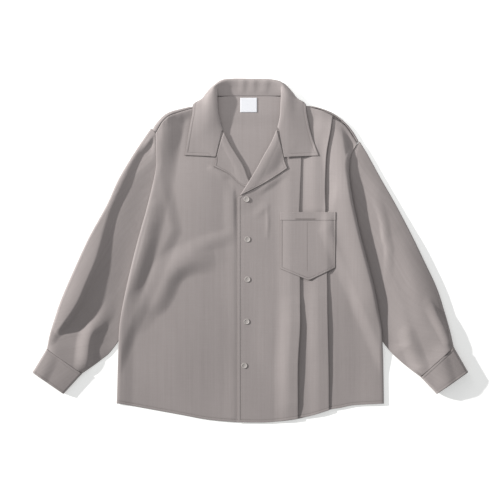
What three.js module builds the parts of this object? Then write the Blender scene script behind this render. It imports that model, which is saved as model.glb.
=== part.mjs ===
import * as THREE from 'three';

// A long-sleeved camp-collar shirt jacket, laid flat on a surface at z = 0.
// Millimetres, collar towards +Y, wearer's left towards +X, front upwards.
const wall = 1.2; // cloth thickness
const seamGap = 0.3; // space between neighbouring pieces
const layer = wall + seamGap; // rise from one cloth layer to the next
const floorLevel = wall / 2; // middle of a wall that lies on the surface
const sleeveLayer = 2.4; // middle of a sleeve's upper wall where the body lies on it
const backLift = 4; // how far the back rises over a tucked sleeve
const collarLift = 2.3; // how far the back rises over the tucked collar
const edgeInset = 3.4; // the back ends this far inside the body's side folds
const pleatIntake = 15; // cloth turned under at each front pleat
const turn = 0.8; // radius of a pressed fold, to the middle of the wall
const neckLap = 1.2; // the back runs on this far past the neck seam
const shoulderLap = 1.4; // the back runs on this far past the shoulder seam before it rolls over
const sideInset = 7; // a side fold's width along the body
const armholeInset = 12; // and along the armhole
const sideEnd = -1.2; // angle where a side fold ends, under the body
const armholeEnd = 0.1; // and at the armhole seam, above it
const curlEnd = -1.35; // angle where a lapel's roll ends, inside the neck
const seamReach = 24; // a front comes up to its shoulder seam over this width
const rollReach = 48; // and to its roll line over this one
const frontClear = 0.3; // extra height of a front over the cloth below it
const collarClear = 0.4; // and of the collar's fall over a front
const lapelClear = 0.7; // and of a lapel over it
const notchLift = 1.6; // further lift of a lapel towards its notch
const lapelSwell = 0.6; // swell of a lapel beside its roll
const pocketClear = 0.3; // extra height of the pocket over the front
const bandClear = 0.1; // and of its band over the pocket
const bandInset = 0.5; // the band ends this far inside the pocket's sides

// Inner edge of a sleeve that is tucked under the body, by distance from the middle: from the
// underarm down to where it comes out, and above the underarm as a line that leans outwards.
const tucked = { underarm: [181, 57], end: [297, -212], inset: 12, lean: 0.2 };
const tuckedReach = [4, 34]; // the back rises to the tucked sleeve over this stretch
const underarmReach = [110, 180]; // and no longer rises between these heights
const collarReach = { up: [275, 312], out: [112, 140] }; // where the back rises to the collar
const cornerReach = [-44, -4]; // a side fold turns to the shoulder seam over this stretch
const armholeReach = [150, 205]; // a side fold becomes an armhole seam between these heights
const sleeveOut = [-240, -212]; // a sleeve comes out from under the body between these heights
const overSleeve = 0.4; // extra height of the body's side over a sleeve
const neckWide = 114; // half the width over which the back meets the collar
// Flat strip of the back above the shoulder seam, left of the middle: at the armhole and midway.
const seamStrips = [
  { wide: 2.6, from: [-196, -209], to: null },
  { wide: 1.5, from: [-120, -140], to: [-165, -185] },
];
const ringEnd = { at: 6, least: 0.85, most: 7 }; // radius of a sleeve's edge turn
const domeShare = 0.6; // share of a sleeve's dome that shows between its folds
const outerSwell = 0.45; // a sleeve's outer half swells by this share of its dome
const rollBend = { share: 0.11, least: 0.8, most: 1.8 }; // a roll's radius for its height
const overlapHem = -386; // both fronts reach this far down where they overlap
const sideTurn = { left: [-238, 48], right: [240, 48] }; // the side edges turn here
const shoulderBend = 0.9; // least radius of the back's wrap over a shoulder
const sideFree = { wide: 40, from: -205, to: -250 }; // the sides come clear of the sleeves
const collarTuck = { across: 0.45, least: 0.3 }; // the collar's hidden edge lies low up to here
const lapelBend = { rise: 3, reach: 0.9 }; // a lapel swells beside its roll, then comes to lie
const pleatEnd = -69; // the pleats under the pocket are followed down to here
const sleeveClear = { body: [7, 36], head: [0.5, 13], between: [150, 215] };
const fallMiddle = { free: 0.5, tucked: 0.2 }; // where the collar's fall is shaped, by share

// Side folds of the body seen from above, one row per point from hem to armhole.
const sideFold = {
  left: [
    { x: -300, y: -344 }, { x: -299, y: -307 }, { x: -296, y: -213 }, { x: -293, y: -164 },
    { x: -284, y: -111 }, { x: -268, y: -39 }, { x: -251, y: 28 }, { x: -232, y: 96 },
    { x: -215, y: 167 }, { x: -211, y: 192 }, { x: -212, y: 216 }, { x: -212, y: 240 },
    { x: -212.5, y: 262 },
  ],
  right: [
    { x: 300, y: -344 }, { x: 299, y: -273 }, { x: 297, y: -209 }, { x: 295, y: -177 },
    { x: 287, y: -131 }, { x: 279, y: -89 }, { x: 268, y: -44 }, { x: 250, y: 24 },
    { x: 242, y: 57 }, { x: 230, y: 112 }, { x: 220, y: 168 }, { x: 222, y: 195 },
    { x: 228, y: 220 }, { x: 237, y: 240 },
  ],
};

// The hem from the left side fold to the right one.
const hem = [
  { x: -300, y: -344 }, { x: -239, y: -354 }, { x: -157, y: -369 }, { x: -97, y: -380 },
  { x: -28, y: -386 }, { x: 41, y: -386 }, { x: 110, y: -378 }, { x: 179, y: -358 },
  { x: 230, y: -348 }, { x: 300, y: -344 },
];

// Shoulder seams from armhole to neck.
const shoulder = {
  left: [
    { x: -209, y: 268 }, { x: -205, y: 276 }, { x: -196, y: 290 }, { x: -183, y: 301.5 },
    { x: -167, y: 308 }, { x: -138, y: 317 }, { x: -114, y: 323 }, { x: -89, y: 340 },
  ],
  right: [
    { x: 239, y: 242 }, { x: 226, y: 262 }, { x: 209, y: 284 }, { x: 183, y: 304 },
    { x: 155, y: 316 }, { x: 135, y: 321 }, { x: 114, y: 324 }, { x: 89, y: 340 },
  ],
};

// Height of the shoulder seam over the back, by its distance from the middle.
const shoulderRises = [
  { x: -212, rise: 11 }, { x: -206, rise: 13 }, { x: -197, rise: 14.5 }, { x: -186, rise: 14 },
  { x: -167, rise: 9 }, { x: -150, rise: 6.5 }, { x: -135, rise: 5 }, { x: -118, rise: 4.4 },
  { x: 118, rise: 4.4 }, { x: 135, rise: 5 }, { x: 155, rise: 5.6 }, { x: 183, rise: 6 },
  { x: 206, rise: 6.5 }, { x: 226, rise: 6 }, { x: 239, rise: 5 },
];

// Height of each armhole seam over a tucked sleeve, from underarm to shoulder.
const armholeRises = {
  left: [
    { y: 140, rise: 0 }, { y: 180, rise: 3 }, { y: 210, rise: 6 }, { y: 235, rise: 8 },
    { y: 262, rise: 8 },
  ],
  right: [
    { y: 140, rise: 0 }, { y: 175, rise: 1.6 }, { y: 205, rise: 2.6 }, { y: 225, rise: 2.4 },
    { y: 245, rise: 1.2 },
  ],
};

// Roll lines from the lowest point of the neck opening to the gorge, z at the crest.
const lapelRoll = {
  left: [
    { x: 5, y: 143, z: 4.3 }, { x: -4, y: 160, z: 5 }, { x: -15, y: 189, z: 6.6 },
    { x: -29, y: 212, z: 8.2 }, { x: -46, y: 239, z: 9.8 }, { x: -59, y: 265, z: 11.7 },
  ],
  right: [
    { x: -22, y: 125, z: 8 }, { x: -3, y: 155, z: 9.2 }, { x: 13, y: 181, z: 10.6 },
    { x: 31, y: 214, z: 12 }, { x: 47, y: 242, z: 13.4 }, { x: 59, y: 270, z: 14.8 },
  ],
};

// Outer edges of the lapels: lower edge from the break to the point, then up to the notch.
const lapelEdge = {
  left: {
    lower: [[5, 143], [-13, 144], [-29, 155], [-46, 171], [-82, 189]],
    outer: [[-82, 189], [-76, 206]],
    gorge: [[-59, 265], [-64, 253], [-70, 231], [-76, 206]],
  },
  right: {
    lower: [[-22, 125], [4, 137], [34, 153], [63, 171], [84, 185]],
    outer: [[84, 185], [79, 196], [75, 206]],
    gorge: [[59, 270], [66, 246], [71, 227], [75, 206]],
  },
};

// Neck edge of each front from the gorge to the shoulder seam.
const neckEdge = {
  left: [[-67, 269], [-79, 281], [-86, 304], [-89, 326], [-89, 340]],
  right: [[67, 274], [79, 283], [84, 304], [87, 326], [89, 340]],
};

// Collar sections from the left gorge round the back of the neck to the right gorge: five
// points x, y, z of each section, and tuck, the share of its fall folded under the back.
const sectionPoints = ['seam', 'roll', 'crest', 'fold', 'edge'];
const collarSections = [
  [[-65, 274, 9.4], [-61, 272, 10.4], [-65, 267, 12], [-78, 211, 8.6], [-148, 214, 7], 0],
  [[-74, 284, 9.7], [-66, 286, 13.5], [-73, 281, 15.8], [-100, 248, 11.4], [-144, 236, 8], 0],
  [[-82, 306, 9.2], [-72, 309, 16.5], [-82, 307, 19.5], [-107, 283, 14], [-138, 270, 9], 0],
  [[-85, 330, 8.6], [-74, 333, 17.5], [-86, 335, 21.5], [-107, 317, 14.5], [-131, 305, 10], 0],
  [[-84, 346, 8], [-74, 351, 18], [-86, 355, 22], [-108, 341, 13], [-131, 338, 8], 0.4],
  [[-78, 348, 6], [-74, 364, 16], [-81, 368, 20], [-97, 359, 9], [-88, 337, 0.6], 1],
  [[-64, 348, 5], [-65, 367, 13], [-64, 379, 17], [-69, 381, 8], [-76, 322, 0.6], 1],
  [[-40, 348, 4.4], [-40, 366, 6.8], [-40, 382, 9.2], [-44, 386, 5.2], [-50, 321, 0.6], 1],
  [[0, 348, 4.2], [0, 366, 6.2], [0, 382, 8.4], [0, 386, 4.8], [0, 320, 0.6], 1],
  [[44, 348, 4.4], [44, 366, 7.2], [44, 381, 10], [46, 385, 5.6], [50, 321, 0.6], 1],
  [[64, 348, 5], [67, 366, 13], [68, 377, 16], [73, 377, 8], [76, 322, 0.6], 1],
  [[76, 348, 6], [70, 360, 16], [78, 364, 20], [96, 358, 9], [88, 337, 0.6], 1],
  [[84, 346, 8], [69, 347, 18], [81, 352, 22], [103, 342, 13], [128, 338, 8], 0.4],
  [[84, 330, 9], [68, 328, 18.5], [80, 333, 22], [102, 320, 14.5], [127, 308, 10], 0],
  [[80, 306, 10], [67, 306, 17.5], [77, 306, 20.5], [104, 285, 14.5], [134, 273, 10], 0],
  [[73, 286, 11.2], [64, 289, 15.5], [71, 284, 17.5], [101, 248, 12.5], [144, 240, 9.5], 0],
  [[65, 279, 12.2], [61, 277, 13.7], [65, 272, 15.2], [76, 210, 10.6], [154, 213, 9], 0],
];
const gorgeShareOfCollar = 0.06; // the gorge edges are straight over this share of its length

// Pleats of the wearer's left front: the fold edge, and lift, its height over the cloth under it.
const pleats = [
  [
    { x: 107, y: -378, lift: 3.6 }, { x: 107, y: -340, lift: 4.5 }, { x: 107, y: -255, lift: 6.2 },
    { x: 112, y: -169, lift: 6 }, { x: 112, y: -125, lift: 4.5 }, { x: 112, y: -96, lift: 3.6 },
    { x: 110, y: 86, lift: 3.6 }, { x: 115, y: 212, lift: 3.6 }, { x: 119, y: 329, lift: 3.6 },
  ],
  [
    { x: 177, y: -359, lift: 3.4 }, { x: 176, y: -255, lift: 3.6 }, { x: 174, y: -169, lift: 4.2 },
    { x: 173, y: -110, lift: 3.9 }, { x: 173, y: -80, lift: 3.6 }, { x: 169, y: 80, lift: 3.6 },
    { x: 169, y: 112, lift: 4.2 }, { x: 168, y: 140, lift: 5 }, { x: 171, y: 216, lift: 5.4 },
    { x: 180, y: 269, lift: 5 }, { x: 185, y: 303, lift: 3.6 },
  ],
];
const pleatReach = 55; // cloth beside a pleat starts to rise this far from its edge
const pleatFlat = 18; // and is level over this width

// Ridges of the cloth: crest points x, y and height, and the widths on each side of them.
const bodyRidges = [
  {
    crest: [[-191, 298, 9], [-194, 282, 13], [-200, 254, 14], [-204, 229, 12], [-208, 206, 8.5],
      [-212, 180, 6], [-219, 145, 5], [-230, 105, 4], [-238, 78, 2]],
    left: 36, right: 44,
  },
  {
    crest: [[-214, 90, 2], [-226, 45, 6.5], [-240, -10, 9], [-255, -55, 9.5], [-272, -100, 8.5],
      [-286, -140, 6], [-294, -185, 4], [-296, -335, 3.5]],
    left: 30, right: 46,
  },
  {
    crest: [[-90, -24, 1], [-115, -28, 4], [-140, -33, 6], [-160, -46, 6.5], [-174, -90, 6],
      [-205, -132, 5], [-238, -165, 2]],
    left: 40, right: 34,
  },
  { crest: [[-128, 12, 1], [-95, 24, 2.6], [-60, 34, 2.4], [-36, 40, 1]], left: 24, right: 22 },
  { crest: [[-188, 60, 0.6], [-180, 110, 1.6], [-160, 170, 1.4], [-150, 215, 0.6]], left: 40, right: 30 },
  {
    crest: [[198, 296, 3], [205, 264, 7], [209, 235, 9.5], [214, 208, 10], [219, 178, 9],
      [224, 149, 8], [231, 110, 7], [240, 69, 7], [252, 24, 7], [262, -20, 7],
      [276, -100, 6.5], [288, -200, 6.5], [291, -335, 5.5]],
    left: 56, right: 16,
  },
];
const sleeveRidges = [
  {
    crest: [[-236, 246, 4], [-262, 213, 5], [-290, 155, 5.5], [-318, 93, 5.5], [-333, 43, 6],
      [-341, 11, 7], [-352, -26, 9], [-367, -62, 12], [-391, -118, 14], [-415, -154, 14.5],
      [-436, -180, 11], [-452, -200, 5]],
    left: 44, right: 19,
  },
  {
    crest: [[-300, -120, 2], [-314, -142, 6], [-336, -168, 8], [-354, -182, 8.5], [-363, -205, 8.5],
      [-368, -247, 7], [-372, -270, 4]],
    left: 30, right: 16,
  },
  { crest: [[330, 40, 1], [352, 0, 3], [378, -90, 4], [402, -180, 2]], left: 40, right: 60 },
  { crest: [[404, -118, 1], [419, -146, 4], [434, -172, 4.5], [448, -200, 3]], left: 22, right: 10 },
  { crest: [[352, -190, 2], [378, -262, 4]], left: 24, right: 26 },
];

// Soft domes of the fronts and sleeves: centre, half widths and height.
const bodyDomes = [
  { x: -120, y: 120, wide: 110, long: 170, high: 5 },
  { x: -150, y: -200, wide: 130, long: 170, high: 3 },
  { x: 130, y: -190, wide: 170, long: 200, high: 2.5 },
  { x: 215, y: 60, wide: 90, long: 250, high: 3 },
];

// Sleeve sections from armhole to cuff: outer and inner edge, and dome height.
const sleeveSections = {
  left: [
    { ox: -223, oy: 274.5, ix: -182, iy: 57, high: 9 },
    { ox: -260.5, oy: 219.5, ix: -197, iy: 19, high: 7 },
    { ox: -296, oy: 160, ix: -217, iy: -26, high: 6 },
    { ox: -322, oy: 103, ix: -234, iy: -66, high: 6 },
    { ox: -362, oy: 30, ix: -259, iy: -125, high: 6 },
    { ox: -398, oy: -48, ix: -284, iy: -182, high: 6 },
    { ox: -425, oy: -111, ix: -313, iy: -226, high: 6 },
    { ox: -439, oy: -152, ix: -336, iy: -246, high: 7 },
    { ox: -450, oy: -187, ix: -356, iy: -261, high: 9 },
    { ox: -457, oy: -221, ix: -378, iy: -276, high: 12 },
  ],
  right: [
    { ox: 246, oy: 244.3, ix: 182, iy: 57, high: 6 },
    { ox: 263.5, oy: 216, ix: 197, iy: 19, high: 7 },
    { ox: 292, oy: 164, ix: 217, iy: -26, high: 8 },
    { ox: 324, oy: 108, ix: 234, iy: -66, high: 9 },
    { ox: 359, oy: 42, ix: 259, iy: -125, high: 11 },
    { ox: 391, oy: -24, ix: 284, iy: -182, high: 13 },
    { ox: 419, oy: -84, ix: 311, iy: -222, high: 15 },
    { ox: 436, oy: -136, ix: 336, iy: -247, high: 17 },
    { ox: 448, oy: -178, ix: 359, iy: -266, high: 18 },
    { ox: 457, oy: -217, ix: 383, iy: -284, high: 19 },
  ],
};

// The sleeves' head edges from shoulder to underarm, and the share of a sleeve that they shape.
const sleeveHead = {
  left: [
    [-223, 274.5], [-217.5, 270], [-212.6, 266.6], [-213, 258], [-212.5, 250], [-212, 240],
    [-211, 215], [-207.5, 190], [-203.5, 167], [-192.5, 112], [-182, 57],
  ],
  right: [
    [246, 244.3], [240.5, 239], [236, 233], [232, 226], [222.5, 209], [217.5, 190],
    [215.5, 160], [201.5, 112], [182, 57],
  ],
};
const headShare = 0.3;

// The back's armhole edges from underarm to shoulder.
const backArmhole = {
  left: [[-184, 84], [-190, 112], [-201, 167], [-206, 205], [-208, 235], [-209.5, 266]],
  right: [[189, 84], [199, 112], [213, 160], [215, 190], [220, 209], [230, 225], [237.5, 241.5]],
};

// Cuff corners: upper outer and inner at the seam, lower outer and inner at the opening.
const cuffs = {
  left: { top: [[-457.3, -221.6], [-378.4, -276.6]], end: [[-489, -274], [-420, -322]], high: 13 },
  right: { top: [[457.3, -217.6], [383.4, -284.6]], end: [[489, -273], [419, -322]], high: 21 },
};

const [rollOut, rollDown] = [0.86, 0.5]; // the way out from a roll line, as seen from above
const facingLap = 1.6; // a front's cloth ends this far outside the lapel's curl
const cuffFall = 0.38; // share of a cuff's height lost from its middle to its edges
const placketEdge = -28; // free edge of the upper front
const underEdge = 13; // hidden edge of the lower front
const breakShare = 12 / 18; // share of a front's rows below the neck opening
const gorgeShare = 16 / 18; // and below the collar
const pocketTop = 86;
const pocketHem = 18; // depth of the band across the pocket's top
const pocketSides = [67, 192];
const pocketFoot = [[67, -41], [131, -67], [191, -39]];
const pocketLift = 3.9; // the pocket lies this far over the front where it crosses the pleats
const pocketFall = { wide: 18, share: 0.8 }; // it comes down by this share beyond the last pleat
const labelBox = { left: -22, right: 15, low: 311, high: 343 };
const buttonPlaces = [[-8, 115], [-6, 25], [-6, -65], [-8, -160], [-13, -259]];
const buttonRadius = 6.1;
const buttonThick = 1.8;
// Outline of a button from the middle of its underside: shares of its radius and thickness.
const buttonProfile = [
  [0, 0], [0.75, 0], [0.93, 0.2], [1, 0.5], [0.96, 0.85], [0.84, 1], [0.72, 0.82], [0.58, 0.4],
  [0, 0.34],
];

const clamp = (value, low, high) => Math.min(Math.max(value, low), high);
const lerp = (a, b, t) => a + (b - a) * t;
const range = (count, make) => Array.from({ length: count }, (_, i) => make(i / (count - 1), i));
const unit = (step) => step.map((value) => value / Math.hypot(...step));
const pairs = (table) => table.map((row) => [row.x, row.y]);

function smooth(from, to, value) {
  const t = clamp((value - from) / (to - from), 0, 1);
  return t * t * (3 - 2 * t);
}

// A smooth value through the points (at, values), with slopes taken from the neighbours.
function spline(at, values, place) {
  const last = at.length - 1;
  const s = clamp(place, at[0], at[last]);
  let i = 0;
  while (i < last - 1 && s > at[i + 1]) i += 1;
  const slope = (k) => {
    const a = Math.max(k - 1, 0);
    const b = Math.min(k + 1, last);
    return (values[b] - values[a]) / (at[b] - at[a]);
  };
  const span = at[i + 1] - at[i];
  const t = (s - at[i]) / span;
  const t2 = t * t;
  const t3 = t2 * t;
  return (2 * t3 - 3 * t2 + 1) * values[i] + (t3 - 2 * t2 + t) * span * slope(i)
    + (3 * t2 - 2 * t3) * values[i + 1] + (t3 - t2) * span * slope(i + 1);
}

// A value that eases from each point to the next and never passes beyond them.
function eased(at, values, place) {
  let i = 0;
  while (i < at.length - 2 && place > at[i + 1]) i += 1;
  return lerp(values[i], values[i + 1], smooth(at[i], at[i + 1], place));
}

// A curve through points of any dimension, as a function of the share of its length.
function curve(points) {
  const at = [0];
  for (let i = 1; i < points.length; i += 1) {
    at.push(at[i - 1] + Math.hypot(...points[i].map((value, k) => value - points[i - 1][k])));
  }
  const columns = points[0].map((_, k) => points.map((point) => point[k]));
  return (t) => columns.map((column) => spline(at, column, t * at[at.length - 1]));
}

// Straight stretches through the points, as a function of the share of the length.
function polyline(points) {
  const at = [0];
  for (let i = 1; i < points.length; i += 1) {
    at.push(at[i - 1] + Math.hypot(...points[i].map((value, k) => value - points[i - 1][k])));
  }
  return (t) => {
    const s = clamp(t, 0, 1) * at[at.length - 1];
    let i = 0;
    while (i < points.length - 2 && s > at[i + 1]) i += 1;
    const f = (s - at[i]) / (at[i + 1] - at[i]);
    return points[i].map((value, k) => lerp(value, points[i + 1][k], f));
  };
}

// A point of the patch between four edge curves, straight across from edge to edge.
function patchPoint(bottom, top, left, right, u, v) {
  const [b, t, l, r] = [bottom(u), top(u), left(v), right(v)];
  const [b0, b1, t0, t1] = [bottom(0), bottom(1), top(0), top(1)];
  return [0, 1].map((k) => lerp(b[k], t[k], v) + lerp(l[k], r[k], u)
    - lerp(lerp(b0[k], b1[k], u), lerp(t0[k], t1[k], u), v));
}

const bell = (q) => (Math.abs(q) < 1 ? (1 - q * q) ** 2 : 0);

// The place on a line of points that is nearest to x, y: its distance, side, stretch and share.
function nearest(line, x, y) {
  let found = { away: Infinity };
  for (let i = 0; i < line.length - 1; i += 1) {
    const [ax, ay] = line[i];
    const [dx, dy] = [line[i + 1][0] - ax, line[i + 1][1] - ay];
    const share = clamp(((x - ax) * dx + (y - ay) * dy) / (dx * dx + dy * dy), 0, 1);
    const away = Math.hypot(x - ax - share * dx, y - ay - share * dy);
    if (away < found.away) found = { away, side: dx * (y - ay) - dy * (x - ax), share, i };
  }
  return found;
}

// Height that the ridges add at a place: full on the crest line, gone at each width.
function ridgeHeight(ridges, x, y) {
  let sum = 0;
  for (const { crest, left, right } of ridges) {
    const { away, side, share, i } = nearest(crest, x, y);
    const high = lerp(crest[i][2], crest[i + 1][2], share);
    sum += high * bell(away / (side > 0 ? right : left));
  }
  return sum;
}

function domeHeight(domes, x, y) {
  return domes.reduce((sum, dome) => sum
    + dome.high * bell(Math.hypot((x - dome.x) / dome.wide, (y - dome.y) / dome.long)), 0);
}

// Signed distance from the inner edge of a tucked sleeve, positive towards the body's middle.
function sleeveAway(x, y) {
  const { underarm: [ux, uy], end: [ex, ey], inset, lean } = tucked;
  const long = Math.hypot(ex - ux, ey - uy);
  const away = ((ux - Math.abs(x)) * (uy - ey) - (y - uy) * (ex - ux)) / long;
  return Math.max(away, ux - inset + lean * (y - uy) - Math.abs(x));
}

function backHeight(x, y) {
  const atSleeve = (1 - smooth(...tuckedReach, sleeveAway(x, y))) * (1 - smooth(...underarmReach, y));
  const atCollar = smooth(...collarReach.up, y) * (1 - smooth(...collarReach.out, Math.abs(x)));
  return floorLevel + backLift * atSleeve + collarLift * atCollar;
}

const rollRadius = (z) => clamp(rollBend.share * z, rollBend.least, rollBend.most);
const shoulderRise = (x) => {
  const i = clamp(shoulderRises.findIndex((row) => row.x > x), 1, shoulderRises.length - 1);
  const [a, b] = [shoulderRises[i - 1], shoulderRises[i]];
  return lerp(a.rise, b.rise, clamp((x - a.x) / (b.x - a.x), 0, 1));
};
const armholeRise = (name, y) => {
  const rows = armholeRises[name];
  return spline(rows.map((row) => row.y), rows.map((row) => row.rise), y);
};

// Middle of a front's wall: the back below it, its domes and ridges, and its rise to the
// roll line and to the shoulder seam.
function frontHeight(side, x, y) {
  const base = backHeight(x, y) + (side === 'right' ? 2 * layer : layer) + frontClear;
  const calm = smooth(20, 60, side === 'right' ? x + 20 : -x);
  let z = base + calm * (domeHeight(bodyDomes, x, y) + ridgeHeight(bodyRidges, x, y));
  const roll = [...lapelRoll[side].map((row) => [row.x, row.y, row.z]), [...neckEdge[side][3], 10]];
  const { away, share, i } = nearest(roll, x, y);
  const crest = lerp(roll[i][2], roll[i + 1][2], share);
  z = lerp(Math.max(crest - 2 * rollRadius(crest), base), z, smooth(2, rollReach, away));
  const seamAway = nearest(pairs(shoulder[side]), x, y).away;
  return lerp(floorLevel + shoulderRise(x), z, smooth(1, seamReach, seamAway));
}

function pleatAt(pleat, y) {
  const at = pleat.map((row) => row.y);
  return {
    x: spline(at, pleat.map((row) => row.x), y),
    lift: eased(at, pleat.map((row) => row.lift), y),
  };
}

// Rise of the wearer's left front towards the pleat edge on its right.
function pleatRise(x, y) {
  for (const pleat of pleats) {
    const { x: edge, lift } = pleatAt(pleat, y);
    if (x <= edge + 0.01) return lift * (1 - smooth(pleatFlat, pleatReach, edge - x));
  }
  return 0;
}

const material = (color, roughness) => new THREE.MeshStandardMaterial({ color, roughness });
const shirting = material(0x9a9290, 0.85);
const labelCloth = material(0xeceef2, 0.8);
const shell = material(0xb9b4b1, 0.35);
const group = new THREE.Group();

function addMesh(name, positions, triangles, finish) {
  let volume = 0;
  const corner = (i) => new THREE.Vector3(...positions[i]);
  for (const [a, b, c] of triangles) volume += corner(a).dot(corner(b).cross(corner(c)));
  const faces = volume < 0 ? triangles.map(([a, b, c]) => [a, c, b]) : triangles;
  const geometry = new THREE.BufferGeometry();
  geometry.setAttribute('position', new THREE.Float32BufferAttribute(positions.flat(), 3));
  geometry.setIndex(faces.flat());
  geometry.computeVertexNormals();
  const mesh = new THREE.Mesh(geometry, finish);
  mesh.name = name;
  group.add(mesh);
}

// A cloth wall from a grid of points in its middle. round joins the last column to the first.
function addCloth(name, grid, finish = shirting, round = false) {
  const [rows, columns] = [grid.length, grid[0].length];
  const point = (i, j) => {
    const column = round ? (j + columns) % columns : clamp(j, 0, columns - 1);
    return new THREE.Vector3(...grid[clamp(i, 0, rows - 1)][column]);
  };
  const sides = [1, -1].map((sign) => grid.flatMap((row, i) => row.map((_, j) => {
    const across = point(i, j + 1).sub(point(i, j - 1));
    const along = point(i + 1, j).sub(point(i - 1, j));
    const normal = across.cross(along).normalize();
    return point(i, j).addScaledVector(normal, (sign * wall) / 2).toArray();
  })));
  const count = rows * columns;
  const triangles = [];
  const quad = (a, b, c, d) => triangles.push([a, b, c], [a, c, d]);
  const index = (i, j) => i * columns + (j % columns);
  for (let i = 0; i < rows - 1; i += 1) {
    for (let j = 0; j < (round ? columns : columns - 1); j += 1) {
      quad(index(i, j), index(i, j + 1), index(i + 1, j + 1), index(i + 1, j));
      const lower = [[i, j], [i + 1, j], [i + 1, j + 1], [i, j + 1]];
      quad(...lower.map((place) => count + index(...place)));
    }
  }
  const rim = (a, b) => quad(a, count + a, count + b, b);
  for (let j = 0; j < (round ? columns : columns - 1); j += 1) {
    rim(index(0, j), index(0, j + 1));
    rim(index(rows - 1, j + 1), index(rows - 1, j));
  }
  if (!round) {
    for (let i = 0; i < rows - 1; i += 1) {
      rim(index(i + 1, 0), index(i, 0));
      rim(index(i, columns - 1), index(i + 1, columns - 1));
    }
  }
  addMesh(name, sides.flat(), triangles, finish);
}

// The side fold of a row: from the crest of the cloth round the outer edge to its lower side.
function foldRound(edge, inward, inset, high, low, endAngle, steps) {
  const rise = (high - low) / (1 - Math.sin(endAngle));
  return range(steps, (t) => {
    const angle = lerp(endAngle, Math.PI / 2, t);
    const away = inset * (1 - Math.cos(angle));
    const z = high - rise * (1 - Math.sin(angle));
    return [edge[0] + inward[0] * away, edge[1] + inward[1] * away, z];
  });
}

const inwardOf = (edge, v, toRight) => {
  const [a, b] = [edge(clamp(v - 0.01, 0, 1)), edge(clamp(v + 0.01, 0, 1))];
  const long = Math.hypot(b[0] - a[0], b[1] - a[1]);
  const sign = toRight ? 1 : -1;
  return [(sign * (b[1] - a[1])) / long, (-sign * (b[0] - a[0])) / long];
};

// A front's side at a share of its length: the fold's edge, the way in from it, its sizes and
// its crest. At the shoulder the way in turns along the shoulder seam.
function sideOf(name) {
  const line = curve(pairs(sideFold[name]));
  const [end, seam] = [line(1), pairs(shoulder[name])[1]];
  const corner = unit([seam[0] - end[0], seam[1] - end[1]]);
  return (v) => {
    const edge = line(v);
    const square = inwardOf(line, v, name === 'left');
    const nearCorner = smooth(...cornerReach, edge[1] - end[1]);
    const inward = unit([0, 1].map((k) => lerp(square[k], corner[k], nearCorner)));
    const armhole = smooth(...armholeReach, edge[1]);
    const inset = lerp(sideInset, armholeInset, armhole);
    const crest = [0, 1].map((k) => edge[k] + inward[k] * inset);
    return { edge, inward, inset, crest, endAngle: lerp(sideEnd, armholeEnd, armhole) };
  };
}

// Where a side fold ends: on the back, or on the sleeve beside the armhole.
function sideFoldLow(x, y) {
  const sleeve = lerp(floorLevel, sleeveLayer + overSleeve, smooth(...sleeveOut, y));
  const raised = sleeve + armholeRise(x < 0 ? 'left' : 'right', y);
  return Math.max(backHeight(x, y), raised) + layer;
}

// The edge where a front's cloth ends: the front edge, the roll line, then the neck seam.
function frontInnerEdge(side) {
  const out = side === 'left' ? -1 : 1;
  const roll = lapelRoll[side].map(({ x, y, z }) => {
    const away = rollRadius(z) + facingLap;
    return [x + out * away * rollOut, y - away * rollDown];
  });
  const start = side === 'left' ? underEdge : placketEdge;
  const edge = polyline([[start, overlapHem], [start, roll[0][1] - 5], roll[0]]);
  const [fold, neck] = [curve(roll), curve([roll[roll.length - 1], ...neckEdge[side]])];
  return (v) => {
    if (v <= breakShare) return edge(v / breakShare);
    if (v <= gorgeShare) return fold((v - breakShare) / (gorgeShare - breakShare));
    return neck((v - gorgeShare) / (1 - gorgeShare));
  };
}

function addRightFront(rows, columns, foldSteps) {
  const side = sideOf('left');
  const inner = frontInnerEdge('left');
  const crest = (v) => side(v).crest;
  const bottom = curve([crest(0), ...pairs(hem).slice(1, 5), [underEdge, overlapHem]]);
  const top = curve([crest(1), ...pairs(shoulder.left).slice(1)]);
  const grid = range(rows, (v) => {
    const { edge, inward, inset, endAngle } = side(v);
    const sheet = range(columns, (u) => {
      const [x, y] = patchPoint(bottom, top, crest, inner, u, v);
      return [x, y, frontHeight('left', x, y)];
    });
    const low = sideFoldLow(edge[0] + inset / 2, edge[1]);
    const fold = foldRound(edge, inward, inset, sheet[0][2], low, endAngle, foldSteps);
    return [...fold.slice(0, -1), ...sheet];
  });
  addCloth('front_right', grid);
}

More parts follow.
